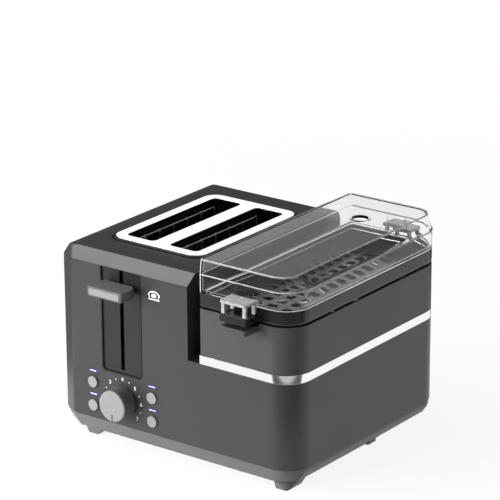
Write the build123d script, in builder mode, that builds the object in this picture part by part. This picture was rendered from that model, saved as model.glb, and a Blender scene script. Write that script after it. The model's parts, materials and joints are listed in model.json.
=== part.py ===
from build123d import *
from math import radians, tan
import os

# A two-slice toaster tower with an egg and warming station beside it. Millimetres, +Z up.
# The origin is the middle of the whole machine's footprint, on the worktop.

# Overall
overall_width = 280.0
body_depth = 245.0
tower_width = 159.0
tower_height = 186.0
ledge_height = 103.5
channel_width = 13.5  # between the tower and the station
foot_height = 6.5
skirt_height = 11.5

# Clearances
seat_gap = 0.3  # under and around a piece that lifts out
slide_gap = 0.4  # around a piece that slides in a window
running_gap = 0.08  # radial, a shaft or rod in its bore
fit_gap = 0.05  # radial, a pressed or glued fit

# Shell
shell_wall = 2.5
station_radius = 26.0
rear_left_radius = 18.0
facet_across = 18.0
facet_back = 11.0
facet_round = 5.0
front_bevel_depth = 13.0
front_bevel_drop = 10.0
facet_bevel_depth = 8.0
side_bevel_depth = 5.0
side_bevel_drop = 12.0
rear_bevel_depth = 4.0
rear_bevel_drop = 9.0
border_width = 12.5  # shallow slope inside the left and rear bevels
border_drop = 2.0
top_wall = 3.0

# Base pan and feet
skirt_inset = 0.8
skirt_straight = 4.0  # upright strip over the lean on the right
left_lean = 6.0
facet_lean = 5.0
right_lean = 3.8
corner_lean = 9.0  # rear right corner
skirt_wall = 3.0
pan_floor = 2.0
front_foot_length = 22.5  # front left foot
front_foot_width = 13.5
front_tip_length = 12.0
front_tip_width = 9.0
front_foot_side_inset = 41.75
front_foot_end_inset = 8.25
front_tip_side_inset = 39.5
front_tip_end_inset = 6.5
rear_foot_length = 27.0
rear_foot_width = 25.0
rear_tip_length = 19.0
rear_tip_width = 22.0
rear_foot_side_inset = 23.0
rear_foot_end_inset = 47.0
foot_round = 2.0
corner_foot_width = 18.4
corner_foot_depth = 25.2
corner_foot_lean = 2.2
corner_foot_round = 3.0
nub_length = 14.0  # stop under the right edge
nub_width = 8.0
nub_drop = 3.5
nub_front = 128.0  # from the front face
vent_length = 40.0
vent_width = 4.0
vent_pitch = 10.0
vent_count = 5
boss_radius = 4.5
boss_height = 24.0
boss_merge = 1.0  # how far a boss runs into its wall
screw_radius = 1.5
screw_head_radius = 3.4
screw_head_height = 1.6
screw_bite = 10.0
screw_room = 1.0  # over the screw's tip
screw_front_left = 25.0
screw_rear_left = 15.0
screw_right = 64.0

# Slot trim and bread slots
slots_axis = 83.6  # from the left side to the middle of the pair
slots_back = 127.0  # from the front face to the middle of the slots
slot_length = 140.0
slot_width = 34.0
slot_radius = 5.0
slot_bridge = 18.0
trim_side = 11.0
trim_end = 11.0
trim_radius = 14.0
trim_proud = 2.0
trim_sink = 2.0
trim_sheet = 1.0
trim_edge = 0.4
trim_lap = 4.0
trim_shadow = 2.0
carrier_lap = 1.5  # the carrier reaches this far beyond the plate
collar_wall = 1.2
collar_depth = 9.0

# Lever window, lever and carriage
control_axis = 79.4  # from the left side to the line of lever and dial
window_width = 49.0
window_bottom = 70.5
window_radius = 4.5
panel_sink = 1.4
panel_fit = 0.4
panel_flange = 1.5
panel_flange_lap = 4.0
lever_slot_width = 4.4
lever_slot_low = 4.5  # from the window's lower edge to the slot
lever_slot_high = 0.8  # from the slot to the window's upper edge
lever_height = 159.0
lever_travel = 76.0
lever_reach = 24.6
lever_width = 42.0
lever_thickness = 9.5
lever_front_radius = 2.5
lever_rear_radius = 9.0
lever_edge = 1.0
lever_face_width = 36.0
lever_face_height = 6.5
lever_face_radius = 1.5
lever_face_sheet = 1.2
lever_face_proud = 0.4
lever_face_edge = 0.3
tongue_width = 3.0
tongue_height = 5.0
tongue_grip = 14.0
carriage_back = 20.0  # from the front face to the carriage plate
carriage_sheet = 1.2
carriage_width = 76.0
carriage_bottom = 96.0
carriage_top = 163.0
rack_top = 105.0
rack_web = 2.0
rack_web_height = 8.0
rack_width = 20.0
rack_sheet = 1.2
rack_finger = 6.0
rack_finger_pitch = 14.0
rack_margin = 12.0
rack_slot_gap = 1.6  # free width beside a web in its slot
rod_radius = 2.5
rod_offset = 12.0
rod_back = 28.0
bush_radius = 5.0
bush_height = 18.0
spring_radius = 4.0
spring_wire = 1.2
spring_turns = 9.0
spring_lug_height = 142.0
magnet_width = 16.0
magnet_depth = 12.0
magnet_height = 10.0
keeper_depth = 8.0
keeper_height = 3.0

# Toasting well
chassis_sheet = 1.0
chassis_front_back = 36.0
chassis_rear_back = 218.0
chassis_width = 128.0
chassis_leg = 6.0
board_sheet = 1.0
board_bottom = 30.0
board_top = 164.0
board_side = 6.5  # outer boards stand this far outside the slots
ribbon_width = 1.6
ribbon_sheet = 0.4
ribbon_pitch = 15.0
ribbon_count = 10
ribbon_margin = 6.0
guide_wire = 1.6
guide_rail = 2.4
guide_inset = 3.0
guide_bottom = 32.0
guide_top = 168.0
guide_count = 7
guide_pitch = 22.0
shield_sheet = 0.8
shield_gap = 6.0

# Controls
dial_height = 43.6
dial_radius = 16.0
dial_reach = 17.0
dial_taper = 2.0
dial_edge = 1.2
dial_gap = 0.5
dial_cap = 2.0
pointer_length = 8.0
pointer_width = 1.8
pointer_proud = 0.3
pointer_overhang = 0.7
shaft_radius = 3.0
shaft_grip = 11.0
shaft_stop = 1.0  # from the shaft's end to the circuit board
pot_radius = 8.0
button_spacing = 72.0
button_rise = 12.0
button_radius = 5.75
button_proud = 1.8
button_travel = 1.5
button_edge = 0.6
button_flange = 1.2
button_flange_sheet = 1.2
stem_radius = 2.0
led_length = 10.5
led_height = 2.2
led_rise = 11.4
led_proud = 0.1
board_back = 12.0  # from the front face to the circuit board
pcb_width = 94.0
pcb_sheet = 1.6
pcb_bottom = 20.0
pcb_top = 76.0
pcb_post_radius = 2.5
pcb_post_inset = 3.5
switch_side = 6.0
switch_lap = 1.0  # a switch stands this far behind the button's flange

# Crumb tray and cord gland
crumb_width = 112.0
crumb_start = 40.0
crumb_sheet = 1.0
crumb_rise = 4.0
crumb_door = 2.0
crumb_grip_width = 60.0
crumb_grip_reach = 6.0
door_depth = 18.0
runner_height = 2.7
runner_width = 4.0
gland_axis = 30.0
gland_height = 40.0
gland_radius = 7.0
gland_bore = 4.0
gland_proud = 3.0
gland_flange = 2.0

# Station: band, reservoir and boiler
band_height = 8.8
band_thickness = 1.6
tub_gap = 0.2
tub_wall = 1.5
tub_depth = 32.0
tub_floor = 1.5
tub_radius = 4.0
tub_rim_drop = 0.4
ring_margin = 11.75  # from the station's side to the ring
ring_width = 7.0
ring_height = 6.0
ring_gap_width = 24.0
plate_ring_margin = 1.5
plate_ring_width = 2.5
plate_ring_height = 1.5
thermostat_radius = 9.0
thermostat_height = 8.0

# Trays
tray_wall = 2.5
tray_left_radius = 3.0
tray_inner_radius = 1.0
egg_tray_height = 46.0
egg_floor_rise = 5.9
egg_floor = 2.5
egg_hole_gap = 11.0  # between the two holes of a row
egg_hole_margin = 7.75  # from a hole to the wall
egg_hole_along = 78.0
egg_hole_rows = 3
post_radius = 2.5
post_shank = 1.5
post_height = 6.5
post_edge = 0.4
post_inset = 7.0  # from the edge of a pan's base
tab_width = 30.0
tab_reach = 20.0
tab_thickness = 5.5
tab_radius = 3.0
notch_depth = 2.0
warm_height = 15.0
warm_floor = 0.8
warm_left_radius = 3.0
warm_bottom_radius = 4.0
warm_corner = 1.5  # extra wall at the foot of the sides
warm_hole = 8.6
warm_hole_chamfer = 1.7
warm_hole_flare = 50.0  # degrees, wider below
warm_columns = 5
warm_rows = 14
warm_pitch_across = 16.2
warm_pitch_along = 14.6
block_rise = 2.0
block_height = 6.4
block_merge = 2.0

# Pans
pan_spacing = 117.7
pan_clearance = 2.75  # between a pan's rim and the tray's wall
pan_bead = 1.5
pan_flare = 4.0
pan_height = 17.0
pan_sheet = 1.2
pan_base_round = 5.0
handle_width = 22.0
handle_lap = 3.5
handle_foot = 5.0
handle_plate = 18.0
handle_sheet = 1.2
handle_gap = 0.5

# Lid
lid_wall = 2.0
lid_skirt = 18.0
lid_height = 32.0
lid_side_slope = 8.0
lid_end_slope = 2.0
lid_lip = 4.5
vent_radius = 8.0
vent_ring = 2.0
vent_ring_rise = 1.0
vent_back = 62.0  # from the rear face to the steam vent
lid_tab_sheet = 2.5
lid_tab_rise = 7.0  # top of the tab over the lid's lower edge
lid_pad_width = 20.0
lid_pad_proud = 1.5
lid_leg_width = 3.5
lid_leg_depth = 2.5
lid_leg_gap = 0.8  # between a leg and the block handle under it

# Worked out from the above
left_x = -overall_width / 2
right_x = overall_width / 2
front_y = (max(lever_reach + lever_face_proud, tab_reach) - body_depth - tab_reach) / 2
back_y = front_y + body_depth
middle_y = front_y + body_depth / 2
tower_right = left_x + tower_width
station_left = tower_right + channel_width
station_x = (station_left + right_x) / 2
shell_bottom = foot_height + skirt_height
floor_top = foot_height + pan_floor
band_top = ledge_height + band_height
control_x = left_x + control_axis
slots_x = left_x + slots_axis
slots_y = front_y + slots_back
slot_offset = (slot_width + slot_bridge) / 2
collar_radius = slot_radius + collar_wall
trim_width = 2 * slot_width + slot_bridge + 2 * trim_side
trim_length = slot_length + 2 * trim_end
trim_seat = tower_height - trim_sink
trim_plate = tower_height + trim_proud - trim_sheet
window_top = tower_height - front_bevel_drop
cavity_top = tower_height - side_bevel_drop - shell_wall
inner_face = front_y + shell_wall
carriage_y = front_y + carriage_back
plate_rear_y = carriage_y + carriage_sheet
rod_x = control_x - rod_offset
spring_x = control_x + rod_offset
rod_y = front_y + rod_back
chassis_front_y = front_y + chassis_front_back
well_front_y = chassis_front_y + chassis_sheet
chassis_rear_y = front_y + chassis_rear_back
well_length = chassis_rear_y - well_front_y
well_y = (well_front_y + chassis_rear_y) / 2
chassis_top = cavity_top - slide_gap
pcb_y = front_y + board_back
button_points = [
    (control_x + side * button_spacing / 2, dial_height + rise * button_rise)
    for side in (-1, 1)
    for rise in (1, -1)
]
led_points = [(x, z + led_rise) for x, z in button_points]
dial_face_y = front_y - dial_reach + dial_cap
dial_face_radius = dial_radius - (dial_reach - dial_cap - dial_gap) * tan(radians(dial_taper))
corner_share = 0.5**0.5  # of a corner's radius, along each axis, to the middle of its arc
screw_inset = shell_wall + boss_radius - boss_merge
screw_points = [
    (left_x + screw_front_left, front_y + screw_inset),
    (right_x - screw_right, front_y + screw_inset),
    (left_x + screw_rear_left, back_y - screw_inset),
    (right_x - screw_right, back_y - screw_inset),
]
egg_tray_bottom = band_top + seat_gap
egg_tray_top = egg_tray_bottom + egg_tray_height
egg_floor_top = egg_tray_bottom + egg_floor_rise
station_half = (right_x - station_left) / 2
egg_hole_radius = (station_half - tray_wall - egg_hole_gap / 2 - egg_hole_margin) / 2
egg_hole_across = 2 * egg_hole_radius + egg_hole_gap
pan_rim_radius = station_half - tray_wall - pan_clearance
pan_wall_radius = pan_rim_radius - pan_bead
pan_base_radius = pan_wall_radius - pan_flare
post_circle = pan_base_radius - post_inset
ring_radius = station_half - ring_margin
tab_top = egg_tray_top - notch_depth
pan_bottom = egg_floor_top + post_height + seat_gap
pan_rim = pan_bottom + pan_height
handle_bottom = tab_top + handle_gap
warm_bottom = egg_tray_top + seat_gap
warm_top = warm_bottom + warm_height
block_top = warm_bottom + block_rise + block_height
lid_bottom = warm_top + seat_gap


def facing_front(y):
    # Upright plane at y, seen from the front: extrude a negative amount to go back.
    return Plane(origin=(0, y, 0), x_dir=(1, 0, 0), z_dir=(0, -1, 0))


def shell_plan(right, right_radius, inset):
    # Plan of the shell: a faceted front left corner and a round rear left one.
    with BuildSketch() as plan:
        with BuildLine():
            Polyline(
                (left_x + facet_across, front_y),
                (right, front_y),
                (right, back_y),
                (left_x, back_y),
                (left_x, front_y + facet_back),
                close=True,
            )
        make_face()
        fillet(plan.vertices().sort_by_distance((left_x, back_y))[0], rear_left_radius)
        fillet(plan.vertices().sort_by_distance((left_x, front_y))[:2], facet_round)
        if right_radius:
            fillet(plan.vertices().group_by(Axis.X)[-1], right_radius)
        if inset:
            offset(amount=-inset, kind=Kind.INTERSECTION)
    return plan.sketch


def station_plan(inset, left_inset, left_radius, end_inset=None):
    # Plan of the station and of all that stacks on it: square to the tower, round away from it.
    depth = body_depth - 2 * (inset if end_inset is None else end_inset)
    with BuildSketch() as plan:
        with Locations(((station_left + left_inset + right_x - inset) / 2, middle_y)):
            Rectangle(right_x - station_left - inset - left_inset, depth)
        fillet(plan.vertices().group_by(Axis.X)[-1], station_radius - inset)
        if left_radius > 0:
            fillet(plan.vertices().group_by(Axis.X)[0], left_radius)
    return plan.sketch


def bevel_plane(point, outward, depth, drop):
    # Plane that starts at an outer edge and leans in by depth while it rises by drop, or leans
    # in below the edge when depth is negative.
    return Plane(origin=point, z_dir=Vector(*outward, 0).normalized() * drop + Vector(0, 0, depth))


# Outer shell: tower and station walls in one moulding.
with BuildPart() as outer_shell:
    with BuildSketch(Plane.XY.offset(shell_bottom)):
        add(shell_plan(tower_right, 0, 0))
    extrude(amount=tower_height - shell_bottom)
    split(
        bisect_by=bevel_plane(
            (left_x, front_y, tower_height - front_bevel_drop), (0, -1), front_bevel_depth, front_bevel_drop
        ),
        keep=Keep.BOTTOM,
    )
    split(
        bisect_by=bevel_plane(
            (left_x, front_y + facet_back, tower_height - side_bevel_drop),
            (-facet_back, -facet_across),
            facet_bevel_depth,
            side_bevel_drop,
        ),
        keep=Keep.BOTTOM,
    )
    split(
        bisect_by=bevel_plane(
            (left_x, middle_y, tower_height - side_bevel_drop), (-1, 0), side_bevel_depth, side_bevel_drop
        ),
        keep=Keep.BOTTOM,
    )
    split(
        bisect_by=bevel_plane(
            (left_x, back_y, tower_height - rear_bevel_drop), (0, 1), rear_bevel_depth, rear_bevel_drop
        ),
        keep=Keep.BOTTOM,
    )
    split(
        bisect_by=bevel_plane(
            (left_x + side_bevel_depth, middle_y, tower_height - border_drop), (-1, 0), border_width, border_drop
        ),
        keep=Keep.BOTTOM,
    )
    split(
        bisect_by=bevel_plane(
            (left_x, back_y - rear_bevel_depth, tower_height - border_drop), (0, 1), border_width, border_drop
        ),
        keep=Keep.BOTTOM,
    )
    with BuildSketch(Plane.XY.offset(shell_bottom)):
        add(shell_plan(right_x, station_radius, 0))
    extrude(amount=ledge_height - shell_bottom)
    # Hollow: the low part, the tower up to its bevels, and the space under the top.
    with BuildSketch(Plane.XY.offset(shell_bottom)):
        add(shell_plan(right_x, station_radius, shell_wall))
    extrude(amount=ledge_height - shell_wall - shell_bottom, mode=Mode.SUBTRACT)
    with BuildSketch(Plane.XY.offset(ledge_height - shell_wall)):
        add(shell_plan(tower_right, 0, shell_wall))
    extrude(amount=cavity_top - ledge_height + shell_wall, mode=Mode.SUBTRACT)
    with BuildSketch(Plane.XY.offset(cavity_top)):
        with Locations((slots_x, slots_y)):
            Rectangle(trim_width, trim_length)
    extrude(amount=tower_height - border_drop - top_wall - cavity_top, mode=Mode.SUBTRACT)
    # Station opening, and the seat and opening of the slot trim.
    with BuildSketch(Plane.XY.offset(ledge_height - shell_wall)):
        add(station_plan(shell_wall, shell_wall, 0))
    extrude(amount=shell_wall, mode=Mode.SUBTRACT)
    with BuildSketch(Plane.XY.offset(trim_seat)):
        with Locations((slots_x, slots_y)):
            RectangleRounded(
                trim_width + 2 * (carrier_lap + trim_shadow),
                trim_length + 2 * (carrier_lap + trim_shadow),
                trim_radius + carrier_lap + trim_shadow,
            )
    extrude(amount=trim_sink, mode=Mode.SUBTRACT)
    with BuildSketch(Plane.XY.offset(cavity_top)):
        with Locations((slots_x, slots_y)):
            Rectangle(trim_width - 2 * trim_lap, trim_length - 2 * trim_lap)
    extrude(amount=trim_seat - cavity_top, mode=Mode.SUBTRACT)
    # Front face: lever window, button and lamp holes, dial hole.
    with BuildSketch(facing_front(front_y)) as window:
        with Locations((control_x, (window_bottom + window_top) / 2)):
            Rectangle(window_width, window_top - window_bottom)
        fillet(window.vertices().group_by(Axis.Y)[0], window_radius)
    extrude(amount=-2 * shell_wall, mode=Mode.SUBTRACT)
    with BuildSketch(facing_front(front_y)):
        with Locations(*button_points):
            Circle(button_radius + slide_gap)
        with Locations(*led_points):
            Rectangle(led_length, led_height)
        with Locations((control_x, dial_height)):
            Circle(shaft_radius + slide_gap)
    extrude(amount=-2 * shell_wall, mode=Mode.SUBTRACT)
    # Posts for the circuit board.
    with BuildSketch(facing_front(inner_face)):
        for side in (-1, 1):
            for height in (pcb_bottom + pcb_post_inset, pcb_top - pcb_post_inset):
                with Locations((control_x + side * (pcb_width / 2 - pcb_post_inset), height)):
                    Circle(pcb_post_radius)
    extrude(amount=-(board_back - shell_wall))
    # Cord gland hole in the rear face.
    with BuildSketch(facing_front(back_y)):
        with Locations((left_x + gland_axis, gland_height)):
            Circle(gland_radius + fit_gap)
    extrude(amount=2 * shell_wall, mode=Mode.SUBTRACT)
    # Screw bosses on the walls, over the posts of the base pan.
    with BuildSketch(Plane.XY.offset(shell_bottom)):
        with Locations(*screw_points):
            Circle(boss_radius)
    extrude(amount=boss_height)
    with BuildSketch(Plane.XY.offset(shell_bottom)):
        with Locations(*screw_points):
            Circle(screw_radius + fit_gap)
    extrude(amount=screw_bite + screw_room, mode=Mode.SUBTRACT)
outer_shell.part.label = "outer_shell"

# Lever panel: stands back in its window, with a flange behind the shell.
with BuildPart() as lever_panel:
    with BuildSketch(facing_front(front_y + panel_sink)) as face:
        with Locations((control_x, (window_bottom + window_top) / 2)):
            Rectangle(window_width - 2 * panel_fit, window_top - window_bottom - 2 * panel_fit)
        fillet(face.vertices().group_by(Axis.Y)[0], window_radius - panel_fit)
    extrude(amount=-(shell_wall - panel_sink))
    with BuildSketch(facing_front(inner_face)):
        with Locations((control_x, (window_bottom - panel_flange_lap + cavity_top - slide_gap) / 2)):
            Rectangle(
                window_width + 2 * panel_flange_lap,
                cavity_top - slide_gap - window_bottom + panel_flange_lap,
            )
    extrude(amount=-panel_flange)
    with BuildSketch(facing_front(front_y)):
        with Locations((control_x, (window_bottom + lever_slot_low + window_top - lever_slot_high) / 2)):
            Rectangle(lever_slot_width, window_top - lever_slot_high - window_bottom - lever_slot_low)
    extrude(amount=-2 * shell_wall, mode=Mode.SUBTRACT)
lever_panel.part.label = "lever_panel"

# Trim carrier: a dark frame that stands on the shell's ledge and holds the steel plate.
with BuildPart() as trim_carrier:
    with BuildSketch(Plane.XY.offset(trim_seat)):
        with Locations((slots_x, slots_y)):
            RectangleRounded(
                trim_width + 2 * carrier_lap, trim_length + 2 * carrier_lap, trim_radius + carrier_lap
            )
        for side in (-1, 1):
            with Locations((slots_x + side * slot_offset, slots_y)):
                RectangleRounded(
                    slot_width + 2 * (collar_wall + fit_gap),
                    slot_length + 2 * (collar_wall + fit_gap),
                    collar_radius + fit_gap,
                    mode=Mode.SUBTRACT,
                )
    extrude(amount=trim_plate - trim_seat)
    chamfer(trim_carrier.faces().sort_by(Axis.Z)[-1].outer_wire().edges(), trim_edge)
trim_carrier.part.label = "trim_carrier"

# Slot trim: a steel plate with a turned-down collar in each slot.
with BuildPart() as slot_trim:
    with BuildSketch(Plane.XY.offset(trim_plate)):
        with Locations((slots_x, slots_y)):
            RectangleRounded(trim_width, trim_length, trim_radius)
    extrude(amount=trim_sheet)
    fillet(slot_trim.faces().sort_by(Axis.Z)[-1].edges(), trim_edge)
    with BuildSketch(Plane.XY.offset(trim_seat - collar_depth)):
        for side in (-1, 1):
            with Locations((slots_x + side * slot_offset, slots_y)):
                RectangleRounded(slot_width + 2 * collar_wall, slot_length + 2 * collar_wall, collar_radius)
    extrude(amount=trim_plate - trim_seat + collar_depth)
    with BuildSketch(Plane.XY.offset(trim_seat - collar_depth)):
        for side in (-1, 1):
            with Locations((slots_x + side * slot_offset, slots_y)):
                RectangleRounded(slot_width, slot_length, slot_radius)
    extrude(amount=trim_plate + trim_sheet - trim_seat + collar_depth, mode=Mode.SUBTRACT)
slot_trim.part.label = "slot_trim"

# Base pan: the grey skirt and the floor in one, leaning in below.
skirt_edges = [
    ((left_x + skirt_inset, middle_y, shell_bottom), (-1, 0), left_lean, skirt_height),
    ((left_x, front_y + facet_back, shell_bottom), (-facet_back, -facet_across), facet_lean, skirt_height),
    (
        (right_x - skirt_inset, middle_y, shell_bottom - skirt_straight),
        (1, 0),
        right_lean,
        skirt_height - skirt_straight,
    ),
    (
        (right_x - station_radius * (1 - corner_share), back_y - station_radius * (1 - corner_share), shell_bottom),
        (1, 1),
        corner_lean,
        skirt_height,
    ),
]
pan_inner = skirt_inset + skirt_wall + max(left_lean, facet_lean, right_lean, corner_lean)
with BuildPart() as base_pan:
    with BuildSketch(Plane.XY.offset(foot_height)):
        add(shell_plan(right_x, station_radius, skirt_inset))
    extrude(amount=skirt_height)
    for edge_point, outward, lean, drop in skirt_edges:
        split(bisect_by=bevel_plane(edge_point, outward, -lean, drop), keep=Keep.BOTTOM)
    with BuildSketch(Plane.XY.offset(floor_top)):
        add(shell_plan(right_x, station_radius, pan_inner))
    extrude(amount=skirt_height - pan_floor, mode=Mode.SUBTRACT)
    # Screw posts, runners, crumb tray doorway, screw holes and cooling vents.
    with BuildSketch(Plane.XY.offset(floor_top)):
        with Locations(*screw_points):
            Circle(boss_radius)
    extrude(amount=skirt_height - pan_floor)
    with BuildSketch(Plane.XY.offset(floor_top)):
        for side in (-1, 1):
            with Locations((slots_x + side * (crumb_width / 2 - runner_width), slots_y)):
                Rectangle(runner_width, slot_length)
    extrude(amount=runner_height)
    with BuildSketch(facing_front(back_y)):
        with Locations((slots_x, floor_top + runner_height + (crumb_rise + crumb_sheet + seat_gap) / 2)):
            Rectangle(crumb_width + 2 * slide_gap, crumb_rise + crumb_sheet + seat_gap + 2 * slide_gap)
    extrude(amount=door_depth, mode=Mode.SUBTRACT)
    with BuildSketch(Plane.XY.offset(foot_height)):
        with Locations(*screw_points):
            Circle(screw_radius + fit_gap)
    extrude(amount=skirt_height, mode=Mode.SUBTRACT)
    with BuildSketch(Plane.XY.offset(foot_height)):
        with Locations((station_x, middle_y)):
            with GridLocations(1, vent_pitch, 1, vent_count):
                SlotOverall(vent_length, vent_width)
    extrude(amount=pan_floor, mode=Mode.SUBTRACT)
    # Small stop under the right edge.
    with BuildSketch(Plane.XY.offset(foot_height)):
        with Locations((right_x - skirt_inset - right_lean - nub_width / 2, front_y + nub_front + nub_length / 2)):
            RectangleRounded(nub_width, nub_length, foot_round)
    extrude(amount=-nub_drop)
base_pan.part.label = "base_pan"

# Feet: three tapered blocks, and one that carries the front right corner down.
foot_tops = [
    (left_x + front_foot_side_inset, front_y + front_foot_end_inset, front_foot_length, front_foot_width),
    (left_x + rear_foot_side_inset, back_y - rear_foot_end_inset, rear_foot_length, rear_foot_width),
    (right_x - rear_foot_side_inset, back_y - rear_foot_end_inset, rear_foot_length, rear_foot_width),
]
foot_tips = [
    (left_x + front_tip_side_inset, front_y + front_tip_end_inset, front_tip_length, front_tip_width),
    (left_x + rear_foot_side_inset, back_y - rear_foot_end_inset, rear_tip_length, rear_tip_width),
    (right_x - rear_foot_side_inset, back_y - rear_foot_end_inset, rear_tip_length, rear_tip_width),
]
corner_right = right_x - skirt_inset - right_lean
corner_tip_right = corner_right - right_lean * foot_height / (skirt_height - skirt_straight)
corner_front = front_y + skirt_inset
with BuildPart() as feet:
    for foot_top, foot_tip in zip(foot_tops, foot_tips):
        for z, (x, y, length, width) in ((foot_height, foot_top), (0, foot_tip)):
            with BuildSketch(Plane.XY.offset(z)):
                with Locations((x, y)):
                    RectangleRounded(length, width, foot_round)
        loft(ruled=True)
    with BuildSketch(Plane.XY.offset(foot_height)) as top:
        with Locations((corner_right - corner_foot_width / 2, corner_front + corner_foot_depth / 2)):
            Rectangle(corner_foot_width, corner_foot_depth)
        fillet(top.vertices().sort_by_distance((corner_right, corner_front))[0], corner_foot_width - foot_round)
    with BuildSketch(Plane.XY) as tip:
        with Locations(
            (
                (corner_right - corner_foot_width + corner_foot_lean + corner_tip_right) / 2,
                corner_front + (corner_foot_depth - corner_foot_lean) / 2,
            )
        ):
            Rectangle(
                corner_tip_right - corner_right + corner_foot_width - corner_foot_lean,
                corner_foot_depth - corner_foot_lean,
            )
        fillet(tip.vertices().sort_by_distance((corner_tip_right, corner_front))[0], corner_foot_round)
    loft(ruled=True)
feet.part.label = "feet"

# Screws from below into the shell's bosses.
with BuildPart() as base_screws:
    with BuildSketch(Plane.XY.offset(foot_height)):
        with Locations(*screw_points):
            Circle(screw_head_radius)
    extrude(amount=-screw_head_height)
    with BuildSketch(Plane.XY.offset(foot_height)):
        with Locations(*screw_points):
            Circle(screw_radius)
    extrude(amount=skirt_height + screw_bite)
base_screws.part.label = "base_screws"

# Steel band: open towards the tower.
with BuildPart() as steel_band:
    with BuildSketch(Plane.XY.offset(ledge_height)):
        add(station_plan(0, 0, 0))
        add(station_plan(band_thickness, -1, 0), mode=Mode.SUBTRACT)
    extrude(amount=band_height)
steel_band.part.label = "steel_band"

# Reservoir: a coated tub whose rim stands on the shell inside the band.
tub_top = band_top - tub_rim_drop
tub_outer = shell_wall + tub_gap
tub_inner = tub_outer + tub_wall
tub_floor_top = band_top - tub_depth
plate_ring_radius = station_half - tub_inner - plate_ring_margin
with BuildPart() as reservoir:
    with BuildSketch(Plane.XY.offset(ledge_height)):
        add(station_plan(band_thickness + tub_gap, 0, 0))
    extrude(amount=tub_top - ledge_height)
    with BuildSketch(Plane.XY.offset(tub_floor_top - tub_floor)):
        add(station_plan(tub_outer, tub_outer, tub_radius))
    extrude(amount=ledge_height - tub_floor_top + tub_floor)
    with BuildSketch(Plane.XY.offset(tub_floor_top)):
        add(station_plan(tub_inner, tub_inner, tub_radius - tub_wall))
    extrude(amount=tub_depth, mode=Mode.SUBTRACT)
    with BuildSketch(Plane.XY.offset(tub_floor_top)):
        with Locations((station_x, middle_y)):
            Circle(plate_ring_radius)
            Circle(plate_ring_radius - plate_ring_width, mode=Mode.SUBTRACT)
    extrude(amount=plate_ring_height)
reservoir.part.label = "reservoir"

# Boiler element: an open ring under the tub, with its two cold ends.
with BuildPart() as boiler_element:
    with BuildSketch(Plane.XY.offset(tub_floor_top - tub_floor)):
        with Locations((station_x, middle_y)):
            Circle(ring_radius)
            Circle(ring_radius - ring_width, mode=Mode.SUBTRACT)
        with Locations((station_x - ring_radius, middle_y)):
            Rectangle(2 * ring_width + ring_gap_width, ring_gap_width, mode=Mode.SUBTRACT)
    extrude(amount=-ring_height)
boiler_element.part.label = "boiler_element"

with BuildPart() as boiler_thermostat:
    with BuildSketch(Plane.XY.offset(tub_floor_top - tub_floor)):
        with Locations((station_x, middle_y)):
            Circle(thermostat_radius)
    extrude(amount=-thermostat_height)
boiler_thermostat.part.label = "boiler_thermostat"


# Chassis plates: end walls of the toasting well, on legs that stand on the base pan.
def rack_slots():
    # Where the two rack arms pass through the front plate.
    slot_low = carriage_bottom - lever_travel
    slot_high = rack_top + rack_web_height
    for side in (-1, 1):
        with Locations((slots_x + side * slot_offset, (slot_low + slot_high) / 2)):
            Rectangle(rack_web + rack_slot_gap, slot_high - slot_low, mode=Mode.SUBTRACT)


with BuildPart() as chassis_front:
    with BuildSketch(facing_front(chassis_front_y)):
        with Locations((slots_x, (floor_top + chassis_top) / 2)):
            Rectangle(chassis_width, chassis_top - floor_top)
        rack_slots()
    extrude(amount=-chassis_sheet)
    # Tabs that hold the head of the guide rod and the spring.
    with BuildSketch(Plane.XY.offset(chassis_top - chassis_sheet)):
        for x in (rod_x, spring_x):
            with Locations((x, (rod_y - bush_radius + chassis_front_y) / 2)):
                Rectangle(2 * bush_radius, chassis_front_y - rod_y + bush_radius)
        with Locations((rod_x, rod_y)):
            Circle(rod_radius + fit_gap, mode=Mode.SUBTRACT)
    extrude(amount=chassis_sheet)
chassis_front.part.label = "chassis_front"

with BuildPart() as chassis_rear:
    with BuildSketch(facing_front(chassis_rear_y)):
        with Locations((slots_x, (floor_top + chassis_top) / 2)):
            Rectangle(chassis_width, chassis_top - floor_top)
        with Locations((slots_x, floor_top)):
            Rectangle(
                chassis_width - 2 * chassis_leg,
                2 * (runner_height + seat_gap + crumb_rise + slide_gap),
                mode=Mode.SUBTRACT,
            )
    extrude(amount=-chassis_sheet)
chassis_rear.part.label = "chassis_rear"

# Heater boards: one outside each slot and one between them.
board_xs = [
    slots_x - slot_offset - slot_width / 2 - board_side,
    slots_x,
    slots_x + slot_offset + slot_width / 2 + board_side,
]
with BuildPart() as heater_boards:
    for x in board_xs:
        with BuildSketch(Plane.XY.offset(board_bottom)):
            with Locations((x, well_y)):
                Rectangle(board_sheet, well_length)
        extrude(amount=board_top - board_bottom)
heater_boards.part.label = "heater_boards"

# Heater ribbons: upright strips on each board face that looks at bread.
ribbon_faces = [(board_xs[0], 1), (board_xs[1], -1), (board_xs[1], 1), (board_xs[2], -1)]
with BuildPart() as heater_wires:
    with BuildSketch(Plane.XY.offset(board_bottom + ribbon_margin)):
        for x, side in ribbon_faces:
            with Locations((x + side * (board_sheet + ribbon_sheet) / 2, well_y)):
                with GridLocations(1, ribbon_pitch, 1, ribbon_count):
                    Rectangle(ribbon_sheet, ribbon_width)
    extrude(amount=board_top - board_bottom - 2 * ribbon_margin)
heater_wires.part.label = "heater_wires"

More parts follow.
